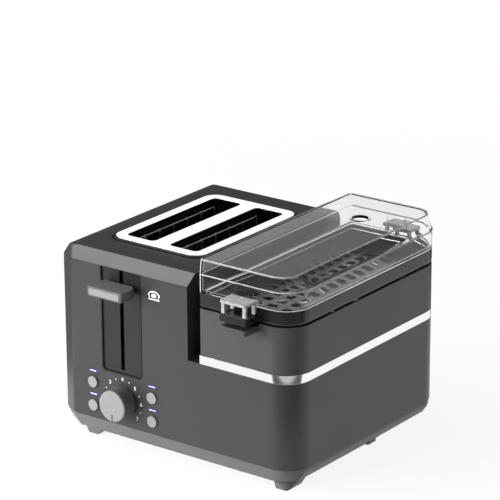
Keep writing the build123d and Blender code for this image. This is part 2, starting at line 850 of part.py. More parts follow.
# Bread guides: a wire grid on each side of each slot, held between the chassis plates.
guide_xs = [
    slots_x + slot * slot_offset + side * (slot_width / 2 - guide_inset) for slot in (-1, 1) for side in (-1, 1)
]
with BuildPart() as bread_guides:
    with BuildSketch(facing_front(well_front_y)):
        for x in guide_xs:
            for z in (guide_bottom, guide_top):
                with Locations((x, z)):
                    Rectangle(guide_rail, guide_rail)
    extrude(amount=-well_length)
    with BuildSketch(Plane.XY.offset(guide_bottom)):
        for x in guide_xs:
            with Locations((x, well_y)):
                with GridLocations(1, guide_pitch, 1, guide_count):
                    Circle(guide_wire / 2)
    extrude(amount=guide_top - guide_bottom)
bread_guides.part.label = "bread_guides"

# Heat shield between the well and the station.
with BuildPart() as heat_shield:
    with BuildSketch(Plane.XY.offset(floor_top)):
        with Locations((tower_right - shield_gap, well_y)):
            Rectangle(shield_sheet, well_length)
    extrude(amount=board_top - floor_top)
heat_shield.part.label = "heat_shield"

# Guide rod: from the base pan to the chassis tab.
with BuildPart() as guide_rod:
    with BuildSketch(Plane.XY.offset(floor_top)):
        with Locations((rod_x, rod_y)):
            Circle(rod_radius)
    extrude(amount=chassis_top - floor_top)
guide_rod.part.label = "guide_rod"

# Latch magnet on the base pan.
with BuildPart() as latch_magnet:
    with BuildSketch(Plane.XY.offset(floor_top)):
        with Locations((control_x, chassis_front_y - magnet_depth / 2)):
            Rectangle(magnet_width, magnet_depth)
    extrude(amount=magnet_height)
latch_magnet.part.label = "latch_magnet"

# Carriage: plate, bush on the rod, and the tongue that carries the lever.
with BuildPart() as carriage:
    with BuildSketch(facing_front(carriage_y)):
        with Locations((slots_x, (carriage_bottom + rack_top) / 2)):
            Rectangle(carriage_width, rack_top - carriage_bottom)
        with Locations((control_x, (carriage_bottom + carriage_top) / 2)):
            Rectangle(2 * (rod_offset + bush_radius), carriage_top - carriage_bottom)
    extrude(amount=-carriage_sheet)
    with BuildSketch(facing_front(carriage_y)):
        with Locations((control_x, lever_height)):
            Rectangle(tongue_width, tongue_height)
    extrude(amount=carriage_back + tongue_grip)
    with BuildSketch(Plane.XY.offset(carriage_top - bush_height)):
        with Locations((rod_x, rod_y)):
            Circle(bush_radius)
        with Locations((rod_x, (plate_rear_y + rod_y) / 2)):
            Rectangle(2 * bush_radius, rod_y - plate_rear_y)
    extrude(amount=bush_height)
    # Lug for the spring, and the keeper that the latch magnet holds.
    with BuildSketch(Plane.XY.offset(spring_lug_height - carriage_sheet)):
        with Locations((spring_x, (plate_rear_y + rod_y + bush_radius) / 2)):
            Rectangle(2 * bush_radius, rod_y + bush_radius - plate_rear_y)
    extrude(amount=carriage_sheet)
    with BuildSketch(Plane.XY.offset(carriage_bottom)):
        with Locations((control_x, plate_rear_y + keeper_depth / 2)):
            Rectangle(magnet_width, keeper_depth)
    extrude(amount=keeper_height)
    with BuildSketch(Plane.XY.offset(carriage_top - bush_height)):
        with Locations((rod_x, rod_y)):
            Circle(rod_radius + running_gap)
    extrude(amount=bush_height, mode=Mode.SUBTRACT)
carriage.part.label = "carriage"

# Bread racks: a web along each slot with a comb of fingers on it.
rack_rear_y = slots_y + slot_length / 2 - rack_margin + trim_end
with BuildPart() as bread_racks:
    for side in (-1, 1):
        x = slots_x + side * slot_offset
        with BuildSketch(Plane.XY.offset(rack_top - rack_web_height)):
            with Locations((x, (plate_rear_y + rack_rear_y) / 2)):
                Rectangle(rack_web, rack_rear_y - plate_rear_y)
        extrude(amount=rack_web_height)
        with BuildSketch(Plane.XY.offset(rack_top - rack_sheet)):
            with Locations((x, slots_y)):
                with GridLocations(1, rack_finger_pitch, 1, int(slot_length / rack_finger_pitch) - 1):
                    Rectangle(rack_width, rack_finger)
        extrude(amount=rack_sheet)
bread_racks.part.label = "bread_racks"

# Return spring: an extension spring between the carriage and the chassis tab.
spring_low = spring_lug_height
spring_high = chassis_top - chassis_sheet
spring_length = spring_high - spring_low
with BuildPart() as return_spring:
    with BuildLine():
        Helix(
            pitch=(spring_length - spring_wire) / spring_turns,
            height=spring_length - spring_wire,
            radius=spring_radius,
            center=(spring_x, rod_y, spring_low + spring_wire / 2),
        )
    with BuildSketch(
        Plane(origin=(spring_x + spring_radius, rod_y, spring_low + spring_wire / 2), z_dir=(0, 1, 0))
    ):
        RegularPolygon(spring_wire / 2, 6)
    sweep(is_frenet=True)
return_spring.part.label = "return_spring"

# Lever knob: a wide flat grip with a pocket for the carriage's tongue and one for its silver face.
lever_face_y = front_y - lever_reach
with BuildPart() as lever_knob:
    with BuildSketch(Plane.XY.offset(lever_height - lever_thickness / 2)) as grip:
        with Locations((control_x, front_y - (lever_reach + dial_gap) / 2)):
            Rectangle(lever_width, lever_reach - dial_gap)
        fillet(grip.vertices().group_by(Axis.Y)[0], lever_front_radius)
        fillet(grip.vertices().group_by(Axis.Y)[-1], lever_rear_radius)
    extrude(amount=lever_thickness)
    fillet(lever_knob.faces().sort_by(Axis.Z)[-1].edges(), lever_edge)
    fillet(lever_knob.faces().sort_by(Axis.Z)[0].edges(), lever_edge)
    with BuildSketch(facing_front(front_y)):
        with Locations((control_x, lever_height)):
            Rectangle(tongue_width, tongue_height)
    extrude(amount=tongue_grip, mode=Mode.SUBTRACT)
    with BuildSketch(facing_front(lever_face_y)):
        with Locations((control_x, lever_height)):
            RectangleRounded(
                lever_face_width + 2 * fit_gap, lever_face_height + 2 * fit_gap, lever_face_radius + fit_gap
            )
    extrude(amount=-(lever_face_sheet - lever_face_proud), mode=Mode.SUBTRACT)
lever_knob.part.label = "lever_knob"

# Lever face: the silver strip let into the front of the grip.
with BuildPart() as lever_face:
    with BuildSketch(facing_front(lever_face_y - lever_face_proud)):
        with Locations((control_x, lever_height)):
            RectangleRounded(lever_face_width, lever_face_height, lever_face_radius)
    extrude(amount=-lever_face_sheet)
    fillet(lever_face.faces().sort_by(Axis.Y)[0].edges(), lever_face_edge)
lever_face.part.label = "lever_face"

# Timer: control, shaft and knob.
with BuildPart() as timer_pot:
    with BuildSketch(facing_front(inner_face + slide_gap)):
        with Locations((control_x, dial_height)):
            Circle(pot_radius)
    extrude(amount=-(board_back - shell_wall - slide_gap))
    with BuildSketch(facing_front(inner_face + slide_gap)):
        with Locations((control_x, dial_height)):
            Circle(shaft_radius + running_gap)
    extrude(amount=-(board_back - shell_wall - slide_gap - shaft_stop), mode=Mode.SUBTRACT)
timer_pot.part.label = "timer_pot"

with BuildPart() as timer_shaft:
    with BuildSketch(facing_front(pcb_y - shaft_stop - seat_gap)):
        with Locations((control_x, dial_height)):
            Circle(shaft_radius)
    extrude(amount=board_back - shaft_stop - seat_gap + dial_gap + shaft_grip)
timer_shaft.part.label = "timer_shaft"

# Timer knob: the dark body, with a pointer rib that stands through the silver cap.
with BuildPart() as timer_knob:
    with BuildSketch(facing_front(front_y - dial_gap)):
        with Locations((control_x, dial_height)):
            Circle(dial_radius)
    extrude(amount=dial_reach - dial_cap - dial_gap, taper=dial_taper)
    with BuildSketch(facing_front(dial_face_y)):
        with Locations((control_x, dial_height - dial_face_radius - pointer_overhang + pointer_length / 2)):
            Rectangle(pointer_width, pointer_length)
    extrude(amount=dial_cap + pointer_proud)
    with BuildSketch(facing_front(front_y - dial_gap)):
        with Locations((control_x, dial_height)):
            Circle(shaft_radius + fit_gap)
    extrude(amount=shaft_grip, mode=Mode.SUBTRACT)
timer_knob.part.label = "timer_knob"

with BuildPart() as dial_face:
    with BuildSketch(facing_front(dial_face_y)):
        with Locations((control_x, dial_height)):
            Circle(dial_face_radius)
    extrude(amount=dial_cap)
    fillet(dial_face.faces().sort_by(Axis.Y)[0].edges(), dial_edge)
    with BuildSketch(facing_front(dial_face_y)):
        with Locations((control_x, dial_height - dial_face_radius - pointer_overhang + pointer_length / 2)):
            Rectangle(pointer_width + 2 * fit_gap, pointer_length + 2 * fit_gap)
    extrude(amount=dial_cap, mode=Mode.SUBTRACT)
dial_face.part.label = "dial_face"

# Circuit board with a switch behind each button.
button_rear_y = inner_face + button_flange_sheet + button_travel + seat_gap
switch_front_y = button_rear_y + switch_lap
with BuildPart() as control_board:
    with BuildSketch(facing_front(pcb_y)):
        with Locations((control_x, (pcb_bottom + pcb_top) / 2)):
            Rectangle(pcb_width, pcb_top - pcb_bottom)
    extrude(amount=-pcb_sheet)
    with BuildSketch(facing_front(pcb_y)):
        with Locations(*button_points):
            Rectangle(switch_side, switch_side)
    extrude(amount=pcb_y - switch_front_y)
control_board.part.label = "control_board"

# Buttons: cap, flange behind the shell, and a stem that reaches its switch.
button_names = ["button_upper_left", "button_lower_left", "button_upper_right", "button_lower_right"]
buttons = {}
for button_name, point in zip(button_names, button_points):
    with BuildPart() as button:
        with BuildSketch(facing_front(inner_face)):
            with Locations(point):
                Circle(button_radius)
        extrude(amount=shell_wall + button_proud)
        fillet(button.faces().sort_by(Axis.Y)[0].edges(), button_edge)
        with BuildSketch(facing_front(inner_face + seat_gap)):
            with Locations(point):
                Circle(button_radius + button_flange)
        extrude(amount=-button_flange_sheet)
        with BuildSketch(facing_front(inner_face)):
            with Locations(point):
                Circle(stem_radius)
        extrude(amount=-(switch_front_y - inner_face - button_travel - seat_gap))
    button.part.label = button_name
    buttons[button_name] = button.part

# Lamp lenses.
with BuildPart() as led_lenses:
    with BuildSketch(facing_front(pcb_y)):
        with Locations(*led_points):
            Rectangle(led_length - 2 * fit_gap, led_height - 2 * fit_gap)
    extrude(amount=board_back + led_proud)
led_lenses.part.label = "led_lenses"

# Crumb tray: a folded sheet with a door and a grip at the back.
crumb_bottom = floor_top + runner_height + seat_gap
with BuildPart() as crumb_tray:
    with BuildSketch(Plane.XY.offset(crumb_bottom)):
        with Locations((slots_x, (front_y + crumb_start + back_y) / 2)):
            Rectangle(crumb_width, back_y - front_y - crumb_start)
    extrude(amount=crumb_rise)
    with BuildSketch(Plane.XY.offset(crumb_bottom + crumb_sheet)):
        with Locations((slots_x, (front_y + crumb_start + back_y - crumb_door) / 2)):
            Rectangle(crumb_width - 2 * crumb_sheet, back_y - front_y - crumb_start - crumb_door - crumb_sheet)
    extrude(amount=crumb_rise, mode=Mode.SUBTRACT)
    with BuildSketch(Plane.XY.offset(crumb_bottom)):
        with Locations((slots_x, back_y + crumb_grip_reach / 2)):
            Rectangle(crumb_grip_width, crumb_grip_reach)
    extrude(amount=crumb_door)
crumb_tray.part.label = "crumb_tray"

# Cord gland: a flanged bush in the rear face.
with BuildPart() as cord_gland:
    with BuildSketch(facing_front(back_y - shell_wall)):
        with Locations((left_x + gland_axis, gland_height)):
            Circle(gland_radius)
    extrude(amount=-(shell_wall + gland_proud))
    with BuildSketch(facing_front(back_y)):
        with Locations((left_x + gland_axis, gland_height)):
            Circle(gland_radius + gland_flange)
    extrude(amount=-gland_proud / 2)
    with BuildSketch(facing_front(back_y - shell_wall)):
        with Locations((left_x + gland_axis, gland_height)):
            Circle(gland_bore)
    extrude(amount=-(shell_wall + gland_proud), mode=Mode.SUBTRACT)
cord_gland.part.label = "cord_gland"


def tab_outline(width):
    # Two tabs in plan, one beyond the front wall and one beyond the rear.
    with BuildSketch() as tabs:
        for y, side in ((front_y, -1), (back_y, 1)):
            with Locations((station_x, y + side * (tab_reach - tray_wall) / 2)):
                Rectangle(width, tab_reach + tray_wall)
        fillet(tabs.vertices().group_by(Axis.Y)[0], tab_radius)
        fillet(tabs.vertices().group_by(Axis.Y)[-1], tab_radius)
    return tabs.sketch


# Egg tray: deep walls, a raised floor with egg holes, posts for the pans, and two tabs.
pan_ys = [middle_y - pan_spacing / 2, middle_y + pan_spacing / 2]
with BuildPart() as egg_tray:
    with BuildSketch(Plane.XY.offset(egg_tray_bottom)):
        add(station_plan(0, 0, tray_left_radius))
    extrude(amount=egg_tray_height)
    with BuildSketch(Plane.XY.offset(egg_floor_top)):
        add(station_plan(tray_wall, tray_wall, tray_inner_radius))
    extrude(amount=egg_tray_height, mode=Mode.SUBTRACT)
    with BuildSketch(Plane.XY.offset(egg_tray_bottom)):
        add(station_plan(tray_wall, tray_wall, tray_inner_radius))
    extrude(amount=egg_floor_rise - egg_floor, mode=Mode.SUBTRACT)
    with BuildSketch(Plane.XY.offset(egg_tray_bottom)):
        with Locations((station_x, middle_y)):
            with GridLocations(egg_hole_across, egg_hole_along, 2, egg_hole_rows):
                Circle(egg_hole_radius)
    extrude(amount=egg_floor_rise, mode=Mode.SUBTRACT)
    with BuildSketch(Plane.XY.offset(egg_tray_bottom)):
        for pan_y in pan_ys:
            with Locations((station_x, pan_y)):
                with PolarLocations(post_circle, 4):
                    Circle(post_shank + fit_gap)
    extrude(amount=egg_floor_rise, mode=Mode.SUBTRACT)
    with BuildSketch(Plane.XY.offset(tab_top - tab_thickness)):
        add(tab_outline(tab_width))
    extrude(amount=tab_thickness)
    with BuildSketch(Plane.XY.offset(tab_top)):
        with Locations((station_x, front_y), (station_x, back_y)):
            Rectangle(tab_width, 2 * (tray_wall + slide_gap))
    extrude(amount=notch_depth, mode=Mode.SUBTRACT)
egg_tray.part.label = "egg_tray"

# Pan posts: eight steel pins in the tray's floor that hold the pans clear of it.
with BuildPart() as pan_posts:
    for pan_y in pan_ys:
        with BuildSketch(Plane.XY.offset(egg_floor_top)):
            with Locations((station_x, pan_y)):
                with PolarLocations(post_circle, 4):
                    Circle(post_radius)
        extrude(amount=post_height)
    chamfer(pan_posts.faces().group_by(Axis.Z)[-1].edges(), post_edge)
    for pan_y in pan_ys:
        with BuildSketch(Plane.XY.offset(egg_floor_top - egg_floor)):
            with Locations((station_x, pan_y)):
                with PolarLocations(post_circle, 4):
                    Circle(post_shank)
        extrude(amount=egg_floor)
pan_posts.part.label = "pan_posts"

# Pans and their strip handles.
pans = {}
for pan_name, pan_y, side in (("pan_front", pan_ys[0], -1), ("pan_rear", pan_ys[1], 1)):
    with BuildPart() as pan:
        with BuildSketch(
            Plane(origin=(station_x, pan_y, pan_bottom), x_dir=(1, 0, 0), z_dir=(0, -1, 0))
        ) as section:
            with BuildLine():
                Polyline(
                    (0, 0),
                    (pan_base_radius, 0),
                    (pan_wall_radius, pan_height - pan_bead),
                    (pan_wall_radius - pan_sheet, pan_height - pan_bead),
                    (pan_base_radius - pan_sheet, pan_sheet),
                    (0, pan_sheet),
                    close=True,
                )
            make_face()
            fillet(section.vertices().sort_by_distance((pan_base_radius, 0))[0], pan_base_round)
            with Locations((pan_wall_radius, pan_height - pan_bead)):
                Circle(pan_bead)
        revolve(axis=Axis((station_x, pan_y, 0), (0, 0, 1)))
    pan.part.label = pan_name
    pans[pan_name] = pan.part

    foot_start = pan_rim_radius - handle_lap
    foot_end = pan_rim_radius + handle_foot
    with BuildPart() as handle:
        with BuildSketch(
            Plane(origin=(station_x, pan_y, pan_rim), x_dir=(0, side, 0), z_dir=(side, 0, 0))
        ):
            with BuildLine():
                Polyline(
                    (foot_start, 0),
                    (foot_end + handle_sheet, 0),
                    (foot_end + handle_sheet, handle_bottom - pan_rim),
                    (foot_end + handle_plate, handle_bottom - pan_rim),
                    (foot_end + handle_plate, handle_bottom - pan_rim + handle_sheet),
                    (foot_end, handle_bottom - pan_rim + handle_sheet),
                    (foot_end, handle_sheet),
                    (foot_start, handle_sheet),
                    close=True,
                )
            make_face()
        extrude(amount=handle_width / 2, both=True)
    handle.part.label = pan_name + "_handle"
    pans[pan_name + "_handle"] = handle.part

# Warming tray: a shallow tray with a grid of square holes and two block handles.
with BuildPart() as warming_tray:
    with BuildSketch(Plane.XY.offset(warm_bottom)):
        add(station_plan(0, 0, warm_left_radius))
    extrude(amount=warm_height)
    fillet(warming_tray.faces().sort_by(Axis.Z)[0].edges(), warm_bottom_radius)
    with BuildSketch(Plane.XY.offset(warm_bottom + warm_floor)):
        add(
            station_plan(tray_wall + warm_corner, tray_wall + warm_corner, warm_left_radius - tray_wall)
        )
    extrude(amount=warm_height, mode=Mode.SUBTRACT)
    with BuildSketch(Plane.XY.offset(warm_bottom + warm_bottom_radius)):
        add(station_plan(tray_wall, tray_wall, warm_left_radius - tray_wall))
    extrude(amount=warm_height, mode=Mode.SUBTRACT)
    with BuildSketch(Plane.XY.offset(warm_bottom + warm_floor)) as holes:
        with Locations((station_x, middle_y)):
            with GridLocations(warm_pitch_across, warm_pitch_along, warm_columns, warm_rows):
                Rectangle(warm_hole, warm_hole)
        chamfer(holes.vertices(), warm_hole_chamfer)
    extrude(amount=-warm_floor, taper=-warm_hole_flare, mode=Mode.SUBTRACT)
    with BuildSketch(Plane.XY.offset(warm_bottom + block_rise)):
        for y, side in ((front_y, -1), (back_y, 1)):
            with Locations((station_x, y + side * (tab_reach - block_merge) / 2)):
                Rectangle(tab_width, tab_reach + block_merge)
    extrude(amount=block_height)
warming_tray.part.label = "warming_tray"

# Lid: an upright skirt, a sloped tier on three sides, a lip inside the tray, a steam vent and tabs.
def lid_tier(inset, z_low, z_high):
    with BuildPart() as tier:
        with BuildSketch(Plane.XY.offset(z_low)):
            add(station_plan(inset, inset, tray_left_radius))
        with BuildSketch(Plane.XY.offset(z_high)):
            add(station_plan(inset + lid_side_slope, inset, tray_left_radius, inset + lid_end_slope))
        loft(ruled=True)
    return tier.part


lid_step = lid_bottom + lid_skirt
lid_top = lid_bottom + lid_height
lid_outer_tier = lid_tier(0, lid_step, lid_top)
lid_inner_tier = lid_tier(lid_wall, lid_step, lid_top - lid_wall)
with BuildPart() as lid:
    with BuildSketch(Plane.XY.offset(lid_bottom)):
        add(station_plan(0, 0, tray_left_radius))
    extrude(amount=lid_skirt)
    add(lid_outer_tier)
    with BuildSketch(Plane.XY.offset(lid_bottom - lid_lip)):
        add(station_plan(tray_wall + slide_gap, tray_wall + slide_gap, tray_left_radius))
    extrude(amount=lid_lip)
    with BuildSketch(Plane.XY.offset(lid_bottom + lid_wall)):
        add(station_plan(lid_wall, lid_wall, tray_left_radius))
    extrude(amount=lid_skirt - lid_wall, mode=Mode.SUBTRACT)
    add(lid_inner_tier, mode=Mode.SUBTRACT)
    with BuildSketch(Plane.XY.offset(lid_bottom - lid_lip)):
        add(
            station_plan(
                tray_wall + slide_gap + lid_wall, tray_wall + slide_gap + lid_wall, tray_left_radius
            )
        )
    extrude(amount=lid_lip + lid_wall, mode=Mode.SUBTRACT)
    with BuildSketch(Plane.XY.offset(lid_top)):
        with Locations((station_x, back_y - vent_back)):
            Circle(vent_radius + vent_ring)
    extrude(amount=vent_ring_rise)
    with BuildSketch(Plane.XY.offset(lid_top - lid_wall)):
        with Locations((station_x, back_y - vent_back)):
            Circle(vent_radius)
    extrude(amount=lid_wall + vent_ring_rise, mode=Mode.SUBTRACT)
    # Tabs, and the short legs under each that stand over the block handle.
    with BuildSketch(Plane.XY.offset(lid_bottom + lid_tab_rise - lid_tab_sheet)):
        add(tab_outline(tab_width))
    extrude(amount=lid_tab_sheet)
    # Raised pad over each tab.
    with BuildSketch(Plane.XY.offset(lid_bottom + lid_tab_rise)):
        for y, side in ((front_y, -1), (back_y, 1)):
            with Locations((station_x, y + side * (lid_pad_proud - lid_wall) / 2)):
                Rectangle(lid_pad_width, lid_pad_proud + lid_wall)
    extrude(amount=lid_skirt - lid_tab_rise)
    with BuildSketch(Plane.XY.offset(block_top + lid_leg_gap)):
        for y, side in ((front_y, -1), (back_y, 1)):
            with Locations((station_x, y + side * tab_reach / 2)):
                with GridLocations(tab_width - 2 * tab_radius, tab_reach - 2 * tab_radius, 2, 2):
                    Rectangle(lid_leg_width, lid_leg_depth)
    extrude(amount=lid_bottom + lid_tab_rise - lid_tab_sheet - block_top - lid_leg_gap)
lid.part.label = "lid"

os.makedirs("parts", exist_ok=True)
pieces = [
    outer_shell, lever_panel, trim_carrier, slot_trim, base_pan, feet, base_screws, steel_band, reservoir,
    boiler_element, boiler_thermostat, chassis_front, chassis_rear, heater_boards, heater_wires,
    bread_guides, heat_shield, guide_rod, latch_magnet, carriage, bread_racks, return_spring,
    lever_knob, lever_face, timer_pot, timer_shaft, timer_knob, dial_face, control_board, led_lenses,
    crumb_tray, cord_gland, egg_tray, pan_posts, warming_tray, lid,
]
finished = [piece.part for piece in pieces] + list(buttons.values()) + list(pans.values())
for piece in finished:
    export_step(piece, "parts/" + piece.label + ".step")
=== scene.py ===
import bmesh
import bpy
import json
import math
from mathutils import Matrix, Vector

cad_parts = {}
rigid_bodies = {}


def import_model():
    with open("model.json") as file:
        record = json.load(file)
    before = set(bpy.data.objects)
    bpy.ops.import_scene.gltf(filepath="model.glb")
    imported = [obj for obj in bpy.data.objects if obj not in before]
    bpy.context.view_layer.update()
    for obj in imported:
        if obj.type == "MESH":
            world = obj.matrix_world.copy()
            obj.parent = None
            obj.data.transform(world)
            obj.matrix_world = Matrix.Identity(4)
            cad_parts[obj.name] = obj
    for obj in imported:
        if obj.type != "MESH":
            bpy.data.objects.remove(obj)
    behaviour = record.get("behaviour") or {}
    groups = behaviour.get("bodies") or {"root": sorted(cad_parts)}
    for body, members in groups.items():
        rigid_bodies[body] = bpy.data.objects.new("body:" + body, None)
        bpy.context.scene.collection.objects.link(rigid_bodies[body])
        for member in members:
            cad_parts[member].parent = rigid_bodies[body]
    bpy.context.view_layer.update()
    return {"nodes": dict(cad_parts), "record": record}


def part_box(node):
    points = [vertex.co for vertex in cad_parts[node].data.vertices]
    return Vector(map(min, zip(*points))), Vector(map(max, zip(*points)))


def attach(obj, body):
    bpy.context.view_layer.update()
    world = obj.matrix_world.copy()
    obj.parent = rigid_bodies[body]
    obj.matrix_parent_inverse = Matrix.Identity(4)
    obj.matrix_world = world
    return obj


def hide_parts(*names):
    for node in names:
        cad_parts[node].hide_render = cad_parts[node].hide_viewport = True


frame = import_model()
nodes = frame["nodes"]
bodyOf = {node: body for body, members in frame["record"]["behaviour"]["bodies"].items() for node in members}
sceneObjects = bpy.context.scene.collection.objects
mm = 0.001
print("frame loaded:", len(nodes), "nodes")


# small helpers
def toLinear(hexText):
    # sRGB hex to the linear values that shaders work in
    values = [int(hexText[i:i + 2], 16) / 255 for i in (1, 3, 5)]
    return tuple(v / 12.92 if v <= 0.04045 else ((v + 0.055) / 1.055) ** 2.4 for v in values) + (1.0,)


def addNode(tree, kind, settings=None, links=None):
    # a node with its settings (sockets by name or number, else properties) and its links
    node = tree.nodes.new(kind)
    for key, value in (settings or {}).items():
        if isinstance(key, str) and hasattr(node, key) and key not in node.inputs:
            setattr(node, key, value)
    for key, value in (settings or {}).items():
        if isinstance(key, int) or key in node.inputs:
            node.inputs[key].default_value = value
    for key, source in (links or {}).items():
        tree.links.new(source, node.inputs[key])
    return node


def newMaterial(name):
    material = bpy.data.materials.new(name)
    material.use_nodes = True
    tree = material.node_tree
    tree.nodes.clear()
    return material, tree, addNode(tree, "ShaderNodeTexCoord").outputs["Object"]


def closeMaterial(material, shader):
    output = addNode(material.node_tree, "ShaderNodeOutputMaterial")
    material.node_tree.links.new(shader.outputs[0], output.inputs["Surface"])
    return material


def perMetre(millimetres):
    # texture scale whose pattern repeats at about that many millimetres
    return 1000.0 / millimetres


# where nearly all values of a noise texture lie
noiseSpan = {"From Min": 0.3, "From Max": 0.7}
# what most of the mouldings, worked metals and sprayed coatings share; each finish below gives the rest
plasticLook = {"grainMm": 1.4, "cloudMm": 50.0, "grainStrength": 0.25, "grainDepthMm": 0.05,
               "roughnessSwing": 0.03, "ior": 1.49, "coat": 0.0}
metalLook = {"lineMm": 1.0, "lineStretch": (1.0, 1.0, 1.0), "stainMm": 12.0, "roughnessSwing": 0.03}
coatingLook = {"peelMm": 1.5, "flakeMm": 1.1, "flakeSize": 0.12, "peelStrength": 0.1, "roughnessSwing": 0.03,
               "ior": 1.45}


def mouldedPlastic(name, settings):
    # Injection-moulded plastic from a spark-eroded tool: a fine even grain that spreads
    # the highlight, faint flow clouds in tone, and slightly glossier patches from handling.
    look = {**plasticLook, **settings}
    material, tree, place = newMaterial(name)
    grain = addNode(tree, "ShaderNodeTexNoise",
                    {"Scale": perMetre(look["grainMm"]), "Detail": 2.0, "Roughness": 0.55}, {"Vector": place})
    clouds = addNode(tree, "ShaderNodeTexNoise",
                     {"Scale": perMetre(look["cloudMm"]), "Detail": 3.0, "Roughness": 0.5}, {"Vector": place})
    tone = addNode(tree, "ShaderNodeMix", {"data_type": "RGBA", 6: toLinear(look["colour"]),
                                           7: toLinear(look["cloudColour"])}, {0: clouds.outputs["Fac"]})
    shine = addNode(tree, "ShaderNodeMapRange",
                    {**noiseSpan, "To Min": look["roughness"] - look["roughnessSwing"],
                     "To Max": look["roughness"] + look["roughnessSwing"]}, {"Value": clouds.outputs["Fac"]})
    relief = addNode(tree, "ShaderNodeBump",
                     {"Strength": look["grainStrength"], "Distance": look["grainDepthMm"] * mm},
                     {"Height": grain.outputs["Fac"]})
    shader = addNode(tree, "ShaderNodeBsdfPrincipled",
                     {"IOR": look["ior"], "Coat Weight": look["coat"], "Coat Roughness": 0.2},
                     {"Base Color": tone.outputs[2], "Roughness": shine.outputs["Result"],
                      "Normal": relief.outputs["Normal"]})
    return closeMaterial(material, shader)


def workedMetal(name, settings):
    # Sheet or wire metal: rolling or polishing lines along one axis, seen as streaks in the gloss.
    look = {**metalLook, **settings}
    material, tree, place = newMaterial(name)
    stretch = addNode(tree, "ShaderNodeMapping", {"Scale": look["lineStretch"]}, {"Vector": place})
    lines = addNode(tree, "ShaderNodeTexNoise",
                    {"Scale": perMetre(look["lineMm"]), "Detail": 3.0, "Roughness": 0.6},
                    {"Vector": stretch.outputs[0]})
    stain = addNode(tree, "ShaderNodeTexNoise",
                    {"Scale": perMetre(look["stainMm"]), "Detail": 4.0, "Roughness": 0.6}, {"Vector": place})
    tone = addNode(tree, "ShaderNodeMix", {"data_type": "RGBA", 6: toLinear(look["colour"]),
                                           7: toLinear(look["stainColour"])}, {0: stain.outputs["Fac"]})
    shine = addNode(tree, "ShaderNodeMapRange",
                    {**noiseSpan, "To Min": look["roughness"] - look["roughnessSwing"],
                     "To Max": look["roughness"] + look["roughnessSwing"]}, {"Value": lines.outputs["Fac"]})
    relief = addNode(tree, "ShaderNodeBump", {"Strength": look["lineStrength"], "Distance": 0.02 * mm},
                     {"Height": lines.outputs["Fac"]})
    shader = addNode(tree, "ShaderNodeBsdfPrincipled", {"Metallic": 1.0},
                     {"Base Color": tone.outputs[2], "Roughness": shine.outputs["Result"],
                      "Normal": relief.outputs["Normal"]})
    return closeMaterial(material, shader)


def nonStickCoating(name, settings):
    # Sprayed and baked fluoropolymer: black gloss with orange peel and sparse mica flakes.
    look = {**coatingLook, **settings}
    material, tree, place = newMaterial(name)
    peel = addNode(tree, "ShaderNodeTexNoise",
                   {"Scale": perMetre(look["peelMm"]), "Detail": 1.0}, {"Vector": place})
    flakes = addNode(tree, "ShaderNodeTexVoronoi",
                     {"Scale": perMetre(look["flakeMm"]), "feature": "F1"}, {"Vector": place})
    spark = addNode(tree, "ShaderNodeMapRange",
                    {"From Min": look["flakeSize"], "From Max": 0.0, "To Min": 0.0, "To Max": 1.0},
                    {"Value": flakes.outputs["Distance"]})
    tone = addNode(tree, "ShaderNodeMix", {"data_type": "RGBA", 6: toLinear(look["colour"]),
                                           7: toLinear(look["flakeColour"])}, {0: spark.outputs["Result"]})
    shine = addNode(tree, "ShaderNodeMapRange",
                    {**noiseSpan, "To Min": look["roughness"] - look["roughnessSwing"],
                     "To Max": look["roughness"] + look["roughnessSwing"]}, {"Value": peel.outputs["Fac"]})
    relief = addNode(tree, "ShaderNodeBump", {"Strength": look["peelStrength"], "Distance": 0.03 * mm},
                     {"Height": peel.outputs["Fac"]})
    shader = addNode(tree, "ShaderNodeBsdfPrincipled",
                     {"IOR": look["ior"], "Coat Weight": look["coat"], "Coat Roughness": 0.06},
                     {"Base Color": tone.outputs[2], "Roughness": shine.outputs["Result"],
                      "Normal": relief.outputs["Normal"]})
    return closeMaterial(material, shader)


def clearPolycarbonate(name, look):
    # Moulded polycarbonate: water clear, faint grey at the edges, with tiny waves in the gloss.
    material, tree, place = newMaterial(name)
    waves = addNode(tree, "ShaderNodeTexNoise",
                    {"Scale": perMetre(look["waveMm"]), "Detail": 1.0}, {"Vector": place})
    shine = addNode(tree, "ShaderNodeMapRange", {"To Min": 0.0, "To Max": look["roughness"]},
                    {"Value": waves.outputs["Fac"]})
    relief = addNode(tree, "ShaderNodeBump", {"Strength": look["waveStrength"], "Distance": 0.02 * mm},
                     {"Height": waves.outputs["Fac"]})
    shader = addNode(tree, "ShaderNodeBsdfPrincipled",
                     {"Base Color": toLinear(look["colour"]), "IOR": look["ior"],
                      "Transmission Weight": look["transmission"]},
                     {"Roughness": shine.outputs["Result"], "Normal": relief.outputs["Normal"]})
    return closeMaterial(material, shader)


def litLens(name, look):
    # Lamp lens of tinted acrylic, lit from behind: brightest in the middle of its grain.
    material, tree, place = newMaterial(name)
    glow = addNode(tree, "ShaderNodeTexNoise", {"Scale": perMetre(3.0), "Detail": 1.0}, {"Vector": place})
    tone = addNode(tree, "ShaderNodeMix", {"data_type": "RGBA", 6: toLinear(look["deep"]),
                                           7: toLinear(look["bright"])}, {0: glow.outputs["Fac"]})
    shader = addNode(tree, "ShaderNodeBsdfPrincipled",
                     {"Base Color": toLinear(look["deep"]), "IOR": 1.49, "Roughness": 0.15,
                      "Emission Strength": look["strength"]}, {"Emission Color": tone.outputs[2]})
    return closeMaterial(material, shader)


